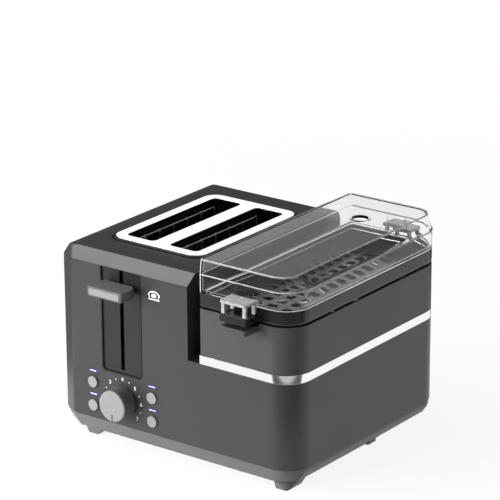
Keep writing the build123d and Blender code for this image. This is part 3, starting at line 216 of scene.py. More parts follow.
def screenPrint(name, look):
    # Pad-printed ink: flat, slightly uneven, a little duller than the plastic under it.
    material, tree, place = newMaterial(name)
    wear = addNode(tree, "ShaderNodeTexNoise", {"Scale": perMetre(0.8), "Detail": 3.0}, {"Vector": place})
    tone = addNode(tree, "ShaderNodeMix", {"data_type": "RGBA", 6: toLinear(look["colour"]),
                                           7: toLinear(look["thin"])}, {0: wear.outputs["Fac"]})
    shader = addNode(tree, "ShaderNodeBsdfPrincipled", {"IOR": 1.45, "Roughness": look["roughness"]},
                     {"Base Color": tone.outputs[2]})
    return closeMaterial(material, shader)


def micaSheet(name, look):
    # Pressed mica board: silvery tan flakes a few millimetres across, with a dry sheen.
    material, tree, place = newMaterial(name)
    flakes = addNode(tree, "ShaderNodeTexVoronoi", {"Scale": perMetre(look["flakeMm"])}, {"Vector": place})
    tone = addNode(tree, "ShaderNodeMix", {"data_type": "RGBA", 6: toLinear(look["colour"]),
                                           7: toLinear(look["flakeColour"])}, {0: flakes.outputs["Distance"]})
    shine = addNode(tree, "ShaderNodeMapRange", {"To Min": 0.35, "To Max": 0.65},
                    {"Value": flakes.outputs["Distance"]})
    shader = addNode(tree, "ShaderNodeBsdfPrincipled", {"IOR": 1.58},
                     {"Base Color": tone.outputs[2], "Roughness": shine.outputs["Result"]})
    return closeMaterial(material, shader)


def circuitLaminate(name, look):
    # Glass-epoxy board under green solder mask, with copper tracks that show a shade lighter.
    material, tree, place = newMaterial(name)
    tracks = addNode(tree, "ShaderNodeTexBrick",
                     {"Scale": perMetre(look["trackMm"]), "Mortar Size": 0.08,
                      "Color1": toLinear(look["colour"]), "Color2": toLinear(look["colour"]),
                      "Mortar": toLinear(look["trackColour"])}, {"Vector": place})
    relief = addNode(tree, "ShaderNodeBump", {"Strength": 0.3, "Distance": 0.05 * mm},
                     {"Height": tracks.outputs["Fac"]})
    shader = addNode(tree, "ShaderNodeBsdfPrincipled", {"IOR": 1.5, "Roughness": 0.3},
                     {"Base Color": tracks.outputs["Color"], "Normal": relief.outputs["Normal"]})
    return closeMaterial(material, shader)


finish = {
    # ABS housing: dark neutral grey, satin. Its real grain is a third of a millimetre,
    # drawn four times as coarse here and on the other mouldings, so that it shows
    "charcoalAbs": mouldedPlastic("charcoalAbsSatin", {
        "colour": "#2d2d2d", "cloudColour": "#303030", "cloudMm": 60.0, "roughness": 0.35, "roughnessSwing": 0.02,
        "ior": 1.52}),
    # lever panel: the housing's plastic from a darker batch
    "panelAbs": mouldedPlastic("darkCharcoalAbs", {
        "colour": "#1c1c1c", "cloudColour": "#1f1f1f", "cloudMm": 40.0, "roughness": 0.38, "roughnessSwing": 0.02,
        "ior": 1.5}),
    # polypropylene of the trim's frame and the dial's control: nearly black, satin
    "blackPp": mouldedPlastic("blackPolypropylene", {
        "colour": "#181818", "cloudColour": "#1b1b1b", "roughness": 0.38}),
    # warming tray: the same black from a polished tool, so it mirrors its own holes
    "glossPp": mouldedPlastic("glossBlackPolypropylene", {
        "colour": "#161616", "cloudColour": "#191919", "grainMm": 1.6, "grainStrength": 0.08, "roughness": 0.24}),
    # egg tray: close to the housing's colour, in polypropylene
    "trayPp": mouldedPlastic("charcoalPolypropylene", {
        "colour": "#3a3a3a", "cloudColour": "#3e3e3e", "roughness": 0.4}),
    # skirt and feet: mid grey polypropylene, duller than the housing
    "greyPp": mouldedPlastic("greyPolypropylene", {
        "colour": "#525252", "cloudColour": "#585858", "grainMm": 1.6, "cloudMm": 40.0, "grainStrength": 0.3,
        "roughness": 0.45}),
    # buttons: pale grey ABS with a finer grain
    "paleAbs": mouldedPlastic("paleGreyAbs", {
        "colour": "#767676", "cloudColour": "#7c7c7c", "grainMm": 1.2, "cloudMm": 20.0, "grainStrength": 0.15,
        "grainDepthMm": 0.03, "roughness": 0.36, "ior": 1.52}),
    # lever strip and dial cap: ABS under a clear-coated silver lacquer
    "silverAbs": mouldedPlastic("silverLacqueredAbs", {
        "colour": "#727272", "cloudColour": "#7a7a7a", "grainMm": 1.2, "cloudMm": 20.0, "grainStrength": 0.15,
        "grainDepthMm": 0.03, "roughness": 0.36, "ior": 1.52, "coat": 0.2}),
    # bodies of the lever and the dial: dark grey ABS, satin, its grey raised as painted light for their lit sides
    "darkAbs": mouldedPlastic("darkGreyAbsPaintedLight", {
        "colour": "#505050", "cloudColour": "#545454", "grainMm": 1.2, "cloudMm": 20.0, "grainStrength": 0.2,
        "grainDepthMm": 0.03, "roughness": 0.36, "ior": 1.52}),
    # cord gland, and the painted-shade strip round the lever panel: moulded rubber, dull and rough
    "rubber": mouldedPlastic("blackRubber", {
        "colour": "#1c1c1c", "cloudColour": "#202020", "grainMm": 0.6, "cloudMm": 15.0, "grainStrength": 0.4,
        "roughness": 0.7, "roughnessSwing": 0.05, "ior": 1.52}),
    # polished stainless strip and trim: mirror-like with hairlines along the length
    "polishedSteel": workedMetal("polishedStainlessSteel", {
        "colour": "#f4f4f4", "stainColour": "#f9f9f9", "lineMm": 1.2, "lineStretch": (1.0, 0.03, 1.0),
        "stainMm": 40.0, "roughness": 0.11, "lineStrength": 0.06}),
    # rolled pan rims: bare bright steel
    "rimSteel": workedMetal("brightRolledSteelRim", {
        "colour": "#f2f2f2", "stainColour": "#f8f8f8", "stainMm": 20.0, "roughness": 0.3, "lineStrength": 0.05}),
    # pan handles: bent strip under black nickel, which mirrors darkly
    "handleStrip": workedMetal("blackNickelPlatedStrip", {
        "colour": "#989898", "stainColour": "#a2a2a2", "lineStretch": (1.0, 0.1, 1.0), "roughness": 0.22,
        "roughnessSwing": 0.04, "lineStrength": 0.06}),
    # wires of the guides and racks: bright drawn steel
    "guideWire": workedMetal("brightDrawnSteelWire", {
        "colour": "#d8d8d8", "stainColour": "#e6e6e6", "lineMm": 0.8, "lineStretch": (1.0, 1.0, 0.1),
        "stainMm": 9.0, "roughness": 0.25, "roughnessSwing": 0.06, "lineStrength": 0.1}),
    # walls of the toasting well: aluminised sheet with heat stains, its tone darkened as painted shade for the deep
    # well
    "chassisSteel": workedMetal("heatStainedSteelWithPaintedShade", {
        "colour": "#2b2a29", "stainColour": "#3a3836", "lineMm": 1.2, "lineStretch": (1.0, 1.0, 0.06),
        "stainMm": 14.0, "roughness": 0.45, "roughnessSwing": 0.07, "lineStrength": 0.15}),
    # carriage, crumb tray and screws: dull zinc-plated steel with rolling lines
    "sheetSteel": workedMetal("zincPlatedSheetSteel", {
        "colour": "#a9abad", "stainColour": "#bcbec0", "lineMm": 0.8, "lineStretch": (1.0, 1.0, 0.06),
        "roughness": 0.34, "roughnessSwing": 0.07, "lineStrength": 0.15}),
    # ring heater and latch magnet: steel with a dark oxide skin, dull
    "elementSheath": workedMetal("oxidisedElementSheath", {
        "colour": "#5b5552", "stainColour": "#6f6863", "lineMm": 0.6, "stainMm": 6.0, "roughness": 0.5,
        "roughnessSwing": 0.08, "lineStrength": 0.2}),
    # nickel-chrome ribbon: warm grey with a heat tint
    "heaterRibbon": workedMetal("nickelChromeRibbon", {
        "colour": "#8d7f74", "stainColour": "#a08f80", "lineMm": 0.4, "lineStretch": (1.0, 1.0, 0.05),
        "stainMm": 5.0, "roughness": 0.4, "roughnessSwing": 0.08, "lineStrength": 0.1}),
    # outside of the pans: black coating under a clear top layer, glossy
    "coatedPan": nonStickCoating("glossNonStickCoating", {
        "colour": "#0d0d0d", "flakeColour": "#4a4a4a", "roughness": 0.16, "coat": 0.5}),
    # water tub: the coating lightened to grey, satin: painted light against the shade inside the tub
    "coatedTub": nonStickCoating("satinCoatingPaintedLight", {
        "colour": "#363636", "flakeColour": "#606060", "flakeMm": 1.2, "roughness": 0.36, "peelStrength": 0.12,
        "coat": 0.1}),
    # inside of the pans: a darker, duller copy of the same coating, painted shade for the inside of the pan
    "coatedInside": nonStickCoating("insideCoatingPaintedShade", {
        "colour": "#070707", "flakeColour": "#303030", "roughness": 0.22, "coat": 0.0, "ior": 1.28}),
    # lid: water-clear moulding with hardly a wave in its gloss
    "clearLid": clearPolycarbonate("clearPolycarbonate", {
        "colour": "#fdfefe", "ior": 1.3, "roughness": 0.008, "waveMm": 30.0, "waveStrength": 0.05,
        "transmission": 1.0}),
    # rolled edges of the lid: a greyer copy of the same clear plastic, painted shade where the eye looks along the
    # wall
    "lidEdge": clearPolycarbonate("polycarbonateEdgePaintedShade", {
        "colour": "#b2b4b4", "ior": 1.4, "roughness": 0.5, "waveMm": 6.0, "waveStrength": 0.1,
        "transmission": 0.3}),
    # tabs of the lid: frosted by the spark-eroded tool
    "frostedLid": clearPolycarbonate("frostedPolycarbonate", {
        "colour": "#a8aaaa", "ior": 1.5, "roughness": 0.45, "waveMm": 4.0, "waveStrength": 0.15,
        "transmission": 0.35}),
    # lamp lenses and the white diodes that show through them
    "blueLens": litLens("litBlueAcrylic", {"deep": "#37327f", "bright": "#524ca6", "strength": 0.6}),
    "lampGlow": litLens("litWhiteDiode", {"deep": "#cfcbff", "bright": "#ffffff", "strength": 1.0}),
    "whitePrint": screenPrint("whitePadPrint", {"colour": "#e8e8e8", "thin": "#d6d6d6", "roughness": 0.5}),
    # heater boards: mica, darkened as painted shade for the inside of the slots
    "mica": micaSheet("pressedMicaPaintedShade", {"flakeMm": 4.0, "colour": "#211f1c", "flakeColour": "#332f29"}),
    "circuitBoard": circuitLaminate("greenCircuitLaminate", {
        "trackMm": 5.0, "colour": "#1f5a34", "trackColour": "#2f7a48"}),
}
print("finishes made:", len(finish))

nodesIn = {
    "charcoalAbs": ["outer_shell"], "panelAbs": ["lever_panel"], "trayPp": ["egg_tray"], "glossPp": ["warming_tray"],
    "blackPp": ["trim_carrier", "timer_pot"], "greyPp": ["base_pan", "feet"],
    "darkAbs": ["lever_knob", "timer_knob"], "silverAbs": ["lever_face", "dial_face"],
    "paleAbs": ["button_upper_left", "button_lower_left", "button_upper_right", "button_lower_right"],
    "clearLid": ["lid"], "blueLens": ["led_lenses"], "rubber": ["cord_gland"], "circuitBoard": ["control_board"],
    "polishedSteel": ["slot_trim", "steel_band", "pan_posts"],
    "handleStrip": ["pan_front_handle", "pan_rear_handle"],
    "coatedPan": ["pan_front", "pan_rear"], "coatedTub": ["reservoir"],
    "guideWire": ["bread_guides", "bread_racks", "guide_rod", "return_spring"],
    "chassisSteel": ["chassis_front", "chassis_rear", "heat_shield"],
    "sheetSteel": ["carriage", "timer_shaft", "crumb_tray", "boiler_thermostat", "base_screws"],
    "elementSheath": ["boiler_element", "latch_magnet"],
    "mica": ["heater_boards"], "heaterRibbon": ["heater_wires"],
}
nodeFinish = {nodeName: finishName for finishName, members in nodesIn.items() for nodeName in members}


def dress(obj, finishName):
    obj.data.materials.clear()
    obj.data.materials.append(finish[finishName])


for nodeName, finishName in nodeFinish.items():
    dress(nodes[nodeName], finishName)
print("nodes dressed:", len(nodeFinish))


# broken edges
brokenEdge = {"mergeMm": 0.004, "flatAngle": 0.4, "sharpAngle": 33, "segments": 2, "evenWeight": 60}


def softPiece(nodeName, edgeMm, merged=True):
    # closed copy of a node whose sharp edges are broken, as a mould or a press leaves them
    words = nodeName.split("_")
    pieceName = words[0] + "".join(word.capitalize() for word in words[1:])
    work = bmesh.new()
    work.from_mesh(nodes[nodeName].data)
    bmesh.ops.remove_doubles(work, verts=work.verts, dist=brokenEdge["mergeMm"] * mm)
    if merged:
        bmesh.ops.dissolve_limit(work, angle_limit=math.radians(brokenEdge["flatAngle"]), verts=work.verts,
                                 edges=work.edges)
    mesh = bpy.data.meshes.new(pieceName)
    work.to_mesh(mesh)
    work.free()
    if "custom_normal" in mesh.attributes:
        mesh.attributes.remove(mesh.attributes["custom_normal"])
    mesh.polygons.foreach_set("use_smooth", [True] * len(mesh.polygons))
    piece = bpy.data.objects.new(pieceName, mesh)
    sceneObjects.link(piece)
    edges = piece.modifiers.new("brokenEdges", "BEVEL")
    edges.width = edgeMm * mm
    edges.segments = brokenEdge["segments"]
    edges.limit_method = "ANGLE"
    edges.angle_limit = math.radians(brokenEdge["sharpAngle"])
    edges.use_clamp_overlap = False
    evened = piece.modifiers.new("evenShading", "WEIGHTED_NORMAL")
    evened.weight = brokenEdge["evenWeight"]
    dress(piece, nodeFinish[nodeName])
    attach(piece, bodyOf[nodeName])
    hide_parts(nodeName)
    return piece


edgeRadius = {  # mm
    "outer_shell": 0.6, "base_pan": 0.5, "feet": 0.6, "steel_band": 0.3, "reservoir": 0.35,
    "egg_tray": 0.6, "warming_tray": 0.35, "pan_front": 0.12, "pan_rear": 0.12,
    "pan_front_handle": 0.25, "pan_rear_handle": 0.25, "lever_knob": 0.3, "timer_knob": 0.4,
    **dict.fromkeys(nodesIn["paleAbs"], 0.35), "crumb_tray": 0.4, "cord_gland": 0.4, "slot_trim": 0.2,
}
# merging the flat triangles of these two would leave dark wedges on their wide faces
unmergedRadius = {"lever_panel": 0.3, "lid": 0.3}  # mm
soft = {nodeName: softPiece(nodeName, edgeMm) for nodeName, edgeMm in edgeRadius.items()}
soft.update({nodeName: softPiece(nodeName, edgeMm, merged=False) for nodeName, edgeMm in unmergedRadius.items()})
print("edges broken on", len(soft), "pieces")


def finishWhere(piece, finishName, test):
    # a further finish on the faces that pass the test
    piece.data.materials.append(finish[finishName])
    index = len(piece.data.materials) - 1
    for polygon in piece.data.polygons:
        if test(polygon):
            polygon.material_index = index


# rolled pan rims are bare metal: the coating stops under the bead; inside, the darker, duller copy of the coating is
# painted shade
panRim = {"beadRadius": 1.5, "reach": 0.2, "floor": 0.4, "upward": 0.7, "inward": -0.3}


def finishPan(pan, low, high):
    middle = (low + high) / 2
    beadLine = (high.x - low.x) / 2 - panRim["beadRadius"] * mm
    beadHeight = high.z - panRim["beadRadius"] * mm
    nearBead = (panRim["beadRadius"] + panRim["reach"]) * mm

    def acrossPan(polygon):
        return Vector((polygon.center.x - middle.x, polygon.center.y - middle.y, 0.0))

    finishWhere(pan, "coatedInside", lambda polygon: polygon.center.z > low.z + panRim["floor"] * mm and (
        polygon.normal.z > panRim["upward"]
        or polygon.normal.dot(acrossPan(polygon).normalized()) < panRim["inward"]))
    finishWhere(pan, "rimSteel", lambda polygon: math.hypot(
        acrossPan(polygon).length - beadLine, polygon.center.z - beadHeight) < nearBead)


for nodeName in ("pan_front", "pan_rear"):
    finishPan(soft[nodeName], *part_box(nodeName))

# the lid's tabs are spark-eroded for grip, so they look frosted
lidTabs = {"front": -121.6, "back": 126.6}
finishWhere(soft["lid"], "frostedLid", lambda polygon: not (
    lidTabs["front"] * mm < polygon.center.y < lidTabs["back"] * mm))
# its tight front corner towards the tower gets the greyer copy too: painted shade in place of the dark reflection
# there
lidCorner = {"reach": 37.0, "turned": 0.12}
finishWhere(soft["lid"], "lidEdge", lambda polygon: polygon.center.x < lidCorner["reach"] * mm and min(
    abs(polygon.normal.x), abs(polygon.normal.y)) > lidCorner["turned"] and polygon.center.y < 0.0)

# the trim's collar, down in the bread slots, takes the well's dark finish: painted shade for the inside of the slots
trimCollar = {"top": 186.2, "upright": 0.5}
finishWhere(soft["slot_trim"], "chassisSteel", lambda polygon: (
    polygon.center.z < trimCollar["top"] * mm and abs(polygon.normal.z) < trimCollar["upright"]))


# repeated and swept pieces, grown with geometry nodes
def newGroup(name, inputs):
    group = bpy.data.node_groups.new(name, "GeometryNodeTree")
    group.interface.new_socket("Geometry", in_out="INPUT", socket_type="NodeSocketGeometry")
    for label, kind in inputs.items():
        group.interface.new_socket(label, in_out="INPUT", socket_type=kind)
    group.interface.new_socket("Geometry", in_out="OUTPUT", socket_type="NodeSocketGeometry")
    return group, addNode(group, "NodeGroupInput"), addNode(group, "NodeGroupOutput")


def addPiece(name, mesh, body):
    mesh.name = name
    piece = bpy.data.objects.new(name, mesh)
    sceneObjects.link(piece)
    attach(piece, body)
    return piece


def closeGroup(group, geometry, source, sink):
    # every tree ends in real geometry with its finish set
    real = addNode(group, "GeometryNodeRealizeInstances", {}, {0: geometry.outputs[0]})
    finished = addNode(group, "GeometryNodeSetMaterial", {},
                       {"Geometry": real.outputs[0], "Material": source.outputs["Finish"]})
    group.links.new(finished.outputs[0], sink.inputs[0])


def sweptGroup(name, sectionKind, sizes, settings=None, capped=True, flat=False):
    # sweeps a section along the seed's edges; sizes pairs the name of each input with the section's socket
    group, source, sink = newGroup(name, {**{label: "NodeSocketFloat" for label in sizes},
                                          "Finish": "NodeSocketMaterial"})
    line = addNode(group, "GeometryNodeMeshToCurve", {}, {"Mesh": source.outputs["Geometry"]})
    section = addNode(group, sectionKind, settings,
                      {socket: source.outputs[label] for label, socket in sizes.items()})
    if flat:
        line = addNode(group, "GeometryNodeSetCurveNormal", {"mode": "FREE", "Normal": (0.0, 1.0, 0.0)},
                       {"Curve": line.outputs[0]})
    swept = addNode(group, "GeometryNodeCurveToMesh", {"Fill Caps": capped},
                    {"Curve": line.outputs[0], "Profile Curve": section.outputs[0]})
    if not flat:
        swept = addNode(group, "GeometryNodeSetShadeSmooth", {}, {"Geometry": swept.outputs[0]})
    closeGroup(group, swept, source, sink)
    return group


def grow(name, group, values, body, seedPoints=((0.0, 0.0, 0.0),), seedEdges=()):
    # runs the group on a few points and keeps the result as a plain mesh
    seedMesh = bpy.data.meshes.new(name + "Seed")
    seedMesh.from_pydata([Vector(point) * mm for point in seedPoints], list(seedEdges), [])
    seed = bpy.data.objects.new(name + "Seed", seedMesh)
    sceneObjects.link(seed)
    modifier = seed.modifiers.new(name, "NODES")
    modifier.node_group = group
    for item in group.interface.items_tree:
        if item.item_type == "SOCKET" and item.in_out == "INPUT" and item.name in values:
            modifier[item.identifier] = values[item.name]
    bpy.context.view_layer.update()
    evaluated = seed.evaluated_get(bpy.context.evaluated_depsgraph_get())
    mesh = bpy.data.meshes.new_from_object(evaluated)
    seed.modifiers.remove(modifier)
    bpy.data.objects.remove(seed)
    return addPiece(name, mesh, body)


# dots of the shade scale, set round the dial halfway between its numbers
shadeScale = {
    "centre": (-60.6, -120.05, 43.6), "ringRadius": 22.3, "dotRadius": 0.65, "firstAngle": -129.0, "step": 43.0,
    "numbers": 7, "numberHeight": 5.4, "thicken": 0.06,
}
group, source, sink = newGroup("shadeDots", {
    "Count": "NodeSocketInt", "First Angle": "NodeSocketFloat", "Step": "NodeSocketFloat",
    "Ring Radius": "NodeSocketFloat", "Dot Radius": "NodeSocketFloat", "Finish": "NodeSocketMaterial"})
row = addNode(group, "GeometryNodeMeshLine", {}, {"Count": source.outputs["Count"]})
index = addNode(group, "GeometryNodeInputIndex")
along = addNode(group, "ShaderNodeMath", {"operation": "MULTIPLY_ADD"},
                {0: index.outputs[0], 1: source.outputs["Step"], 2: source.outputs["First Angle"]})
across = addNode(group, "ShaderNodeMath", {"operation": "SINE"}, {0: along.outputs[0]})
rise = addNode(group, "ShaderNodeMath", {"operation": "COSINE"}, {0: along.outputs[0]})
unit = addNode(group, "ShaderNodeCombineXYZ", {}, {"X": across.outputs[0], "Z": rise.outputs[0]})
spot = addNode(group, "ShaderNodeVectorMath", {"operation": "SCALE"},
               {0: unit.outputs[0], "Scale": source.outputs["Ring Radius"]})
ring = addNode(group, "GeometryNodeSetPosition", {},
               {"Geometry": row.outputs["Mesh"], "Position": spot.outputs[0]})
dot = addNode(group, "GeometryNodeMeshCircle", {"fill_type": "NGON", "Vertices": 16},
              {"Radius": source.outputs["Dot Radius"]})
placed = addNode(group, "GeometryNodeInstanceOnPoints", {"Rotation": (math.radians(90), 0.0, 0.0)},
                 {"Points": ring.outputs[0], "Instance": dot.outputs["Mesh"]})
shifted = addNode(group, "GeometryNodeTransform",
                  {"Translation": tuple(v * mm for v in shadeScale["centre"])}, {"Geometry": placed.outputs[0]})
closeGroup(group, shifted, source, sink)
grow("shadeDots", group, {
    "Count": shadeScale["numbers"] - 1, "Step": math.radians(shadeScale["step"]),
    "First Angle": math.radians(shadeScale["firstAngle"] + shadeScale["step"] / 2),
    "Ring Radius": shadeScale["ringRadius"] * mm, "Dot Radius": shadeScale["dotRadius"] * mm,
    "Finish": finish["whitePrint"]}, "base")

# bright filament bars behind the four lamp lenses: a row of short dashes in each
lampBars = {
    "lamps": [(-96.6, -120.14, 67.0), (-96.6, -120.14, 43.0), (-24.6, -120.14, 67.0), (-24.6, -120.14, 43.0)],
    "dashes": 5, "pitch": 1.45, "dash": (1.15, 0.02, 0.75),
}
group, source, sink = newGroup("lampBars", {
    "Dashes": "NodeSocketInt", "Pitch": "NodeSocketFloat", "Dash Size": "NodeSocketVector",
    "Finish": "NodeSocketMaterial"})
dashRow = addNode(group, "GeometryNodeMeshLine", {"count_type": "TOTAL", "mode": "OFFSET"},
                  {"Count": source.outputs["Dashes"]})
index = addNode(group, "GeometryNodeInputIndex")
last = addNode(group, "ShaderNodeMath", {"operation": "MULTIPLY_ADD", 1: 0.5, 2: -0.5},
               {0: source.outputs["Dashes"]})
fromMiddle = addNode(group, "ShaderNodeMath", {"operation": "SUBTRACT"}, {0: index.outputs[0], 1: last.outputs[0]})
along = addNode(group, "ShaderNodeMath", {"operation": "MULTIPLY"},
                {0: fromMiddle.outputs[0], 1: source.outputs["Pitch"]})
spot = addNode(group, "ShaderNodeCombineXYZ", {}, {"X": along.outputs[0]})
spread = addNode(group, "GeometryNodeSetPosition", {},
                 {"Geometry": dashRow.outputs["Mesh"], "Position": spot.outputs[0]})
dash = addNode(group, "GeometryNodeMeshCube", {}, {"Size": source.outputs["Dash Size"]})
dashes = addNode(group, "GeometryNodeInstanceOnPoints", {},
                 {"Points": spread.outputs[0], "Instance": dash.outputs["Mesh"]})
lamps = addNode(group, "GeometryNodeInstanceOnPoints", {},
                {"Points": source.outputs["Geometry"], "Instance": dashes.outputs[0]})
closeGroup(group, lamps, source, sink)
grow("lampBars", group, {
    "Dashes": lampBars["dashes"], "Pitch": lampBars["pitch"] * mm, "Dash Size": [v * mm for v in lampBars["dash"]],
    "Finish": finish["lampGlow"]}, "base", lampBars["lamps"])

# rolled edges of the lid, at the foot of its slope and round its top, in the greyer copy of the plastic: painted
# shade for the lid's outline
lidBeads = {
    "radius": 0.7, "left": 32.7, "leftRadius": 3.0, "cornerSteps": 14, "clearReach": 34.5,
    "outlines": [
        {"right": 139.8, "front": -119.8, "back": 124.8, "height": 192.2, "cornerRadius": 25.8},
        {"right": 131.8, "front": -117.8, "back": 122.8, "height": 206.0, "cornerRadius": 17.8}],
}
group = sweptGroup("lidBeads", "GeometryNodeCurvePrimitiveCircle", {"Bead Radius": "Radius"}, {"Resolution": 10},
                   capped=False)


def arcPoints(radius, start, steps):
    # quarter circle round the origin, from an angle in degrees
    turns = [math.radians(start + 90 * i / steps) for i in range(steps + 1)]
    return [(radius * math.cos(turn), radius * math.sin(turn)) for turn in turns]


def beadOutline(look):
    # plan of the station: small corners towards the tower, wide ones away from it
    left, leftRadius, wide = lidBeads["left"], lidBeads["leftRadius"], look["cornerRadius"]
    corners = [(look["right"] - wide, look["back"] - wide, wide, 0),
               (left + leftRadius, look["back"] - leftRadius, leftRadius, 90),
               (left + leftRadius, look["front"] + leftRadius, leftRadius, 180),
               (look["right"] - wide, look["front"] + wide, wide, 270)]
    return [(x + across, y + along, look["height"]) for x, y, radius, start in corners
            for across, along in arcPoints(radius, start, lidBeads["cornerSteps"])]


ringPoints, ringEdges = [], []
for bead in lidBeads["outlines"]:
    outline = beadOutline(bead)
    ringEdges += [(len(ringPoints) + i, len(ringPoints) + (i + 1) % len(outline)) for i in range(len(outline))]
    ringPoints += outline
beads = grow("lidBeads", group, {"Bead Radius": lidBeads["radius"] * mm, "Finish": finish["lidEdge"]}, "lid",
             ringPoints, ringEdges)
# the run towards the tower is thin, so it stays clear
finishWhere(beads, "clearLid", lambda polygon: polygon.center.x < lidBeads["clearReach"] * mm)

# black strip in the joint round the lever panel, open at the top: painted shade standing in for the shadow gap there
panelSeal = {"left": -85.1, "right": -36.1, "top": 176.0, "bottom": 70.5, "cornerRadius": 4.5, "cornerSteps": 6,
             "front": -119.95, "width": 1.3, "depth": 1.2}
group = sweptGroup("panelSeal", "GeometryNodeCurvePrimitiveQuadrilateral", {"Width": "Width", "Depth": "Height"},
                   flat=True)
inset = panelSeal["width"] / 2
middleY = panelSeal["front"] + panelSeal["depth"] / 2
cornerRadius = panelSeal["cornerRadius"]
gapShadePoints = [(panelSeal["left"] + inset, middleY, panelSeal["top"])]
for centreX, start in ((panelSeal["left"] + cornerRadius, 180), (panelSeal["right"] - cornerRadius, 270)):
    gapShadePoints += [(centreX + across, middleY, panelSeal["bottom"] + cornerRadius + rise)
                   for across, rise in arcPoints(cornerRadius - inset, start, panelSeal["cornerSteps"])]
gapShadePoints.append((panelSeal["right"] - inset, middleY, panelSeal["top"]))
grow("panelSeal", group, {
    "Width": panelSeal["width"] * mm, "Depth": panelSeal["depth"] * mm, "Finish": finish["rubber"]},
    "base", gapShadePoints, [(i, i + 1) for i in range(len(gapShadePoints) - 1)])

# tips of the guide wires, bent outwards under the trim, and the wire that ties them
guideTips = {
    "lines": ((-96.4, -1), (-68.4, 1), (-44.4, -1), (-16.4, 1)),  # place across, and the side that a tip bends to
    "middleY": 7.0, "pitch": 22.0, "count": 7, "foot": 168.0, "top": 181.0, "wireRadius": 0.8,
    "bend": 1.3, "shape": ((0.0, 0.0), (0.6, 0.0), (0.85, 0.4), (1.0, 1.0)),  # shares of the height and of the bend
    "tieHeight": 180.2, "tieReach": 64.0, "tieInset": 0.2,
}
group = sweptGroup("guideTips", "GeometryNodeCurvePrimitiveCircle", {"Wire Radius": "Radius"}, {"Resolution": 10})
tipPoints, tipEdges = [], []


def addWire(points):
    tipEdges.extend((len(tipPoints) + i, len(tipPoints) + i + 1) for i in range(len(points) - 1))
    tipPoints.extend(points)


for x, outward in guideTips["lines"]:
    for i in range(guideTips["count"]):
        y = guideTips["middleY"] + (i - (guideTips["count"] - 1) / 2) * guideTips["pitch"]
        rise = guideTips["top"] - guideTips["foot"]
        addWire([(x + outward * guideTips["bend"] * bent, y, guideTips["foot"] + rise * up)
                 for up, bent in guideTips["shape"]])
    addWire([(x - outward * guideTips["tieInset"], guideTips["middleY"] + end * guideTips["tieReach"],
              guideTips["tieHeight"]) for end in (-1, 1)])
grow("guideTips", group, {"Wire Radius": guideTips["wireRadius"] * mm, "Finish": finish["guideWire"]}, "base",
     tipPoints, tipEdges)
print("scale dots, lamps, beads, seal and guide tips grown")


# printed marks
def printedMesh(name, mesh, offset):
    # a print lies in the plane of the front face, a hair proud of it
    mesh.transform(Matrix.Translation([v * mm for v in offset]) @ Matrix.Rotation(math.radians(90), 4, "X"))
    dress(addPiece(name, mesh, "base"), "whitePrint")


for number in range(1, shadeScale["numbers"] + 1):
    angle = math.radians(shadeScale["firstAngle"] + shadeScale["step"] * (number - 1))
    textData = bpy.data.curves.new("shadeNumber", "FONT")
    textData.body = str(number)
    textData.size = shadeScale["numberHeight"] * mm
    textData.align_x, textData.align_y = "CENTER", "CENTER"
    textData.offset = shadeScale["thicken"] * mm
    textObject = bpy.data.objects.new("shadeNumber", textData)
    sceneObjects.link(textObject)
    bpy.context.view_layer.update()
    mesh = bpy.data.meshes.new_from_object(textObject.evaluated_get(bpy.context.evaluated_depsgraph_get()))
    bpy.data.objects.remove(textObject)
    centre = shadeScale["centre"]
    printedMesh("shadeNumber" + str(number), mesh, (
        centre[0] + shadeScale["ringRadius"] * math.sin(angle), centre[1],
        centre[2] + shadeScale["ringRadius"] * math.cos(angle)))

# slice of toast beside the lever: an outline with a filled slice in it
toastMark = {
    "centre": (-20.4, -120.05, 159.4), "width": 14.2, "height": 9.0, "line": 1.2, "coreShare": 0.42,
    "side": ((0.94, 0.0), (0.78, 0.3), (1.0, 0.52)),  # foot, waist and ear: shares of half the width and the height
    "crownReach": 0.95, "crownFoot": 0.66, "crownAngle": 20, "crownSteps": 8,
}


def sliceOutline(width, height):
    # bread slice: wide low crown, ears at its ends, a drawn-in waist and a flat foot
    half, low = width / 2, -height / 2
    side = [(half * out, low + height * up) for out, up in toastMark["side"]]
    start, foot = toastMark["crownAngle"], toastMark["crownFoot"]
    crown = []
    for i in range(toastMark["crownSteps"] + 1):
        turn = start + (180 - 2 * start) * i / toastMark["crownSteps"]
        across = math.cos(math.radians(turn)) / math.cos(math.radians(start))
        crown.append((half * toastMark["crownReach"] * across,
                      low + height * (foot + (1 - foot) * (1 - across * across))))
    return side + crown + [(-x, y) for x, y in reversed(side)]


outer = sliceOutline(toastMark["width"], toastMark["height"])
scaleX = 1 - 2 * toastMark["line"] / toastMark["width"]
scaleY = 1 - 2 * toastMark["line"] / toastMark["height"]
inner = [(x * scaleX, y * scaleY) for x, y in outer]
core = [(x * toastMark["coreShare"], y * toastMark["coreShare"]) for x, y in outer]
points = [Vector((x, y, 0.0)) * mm for x, y in outer + inner + core]
count = len(outer)
faces = [(i, (i + 1) % count, count + (i + 1) % count, count + i) for i in range(count)]
faces.append(tuple(range(2 * count, 3 * count)))  # the filled core
mesh = bpy.data.meshes.new("toastMark")
mesh.from_pydata(points, [], faces)
printedMesh("toastMark", mesh, toastMark["centre"])
print("marks printed")

# base screws with a cross recess
crossScrew = {
    "places": [(-115.0, -114.0, 6.5), (76.0, -114.0, 6.5), (-125.0, 119.0, 6.5), (76.0, 119.0, 6.5)],
    "headRadius": 3.4, "headHeight": 1.6, "crownShare": 0.8, "headSides": 28, "shankRadius": 1.5,
    "shankLength": 21.5, "shankSides": 16, "slot": (3.6, 0.8, 0.9),
}


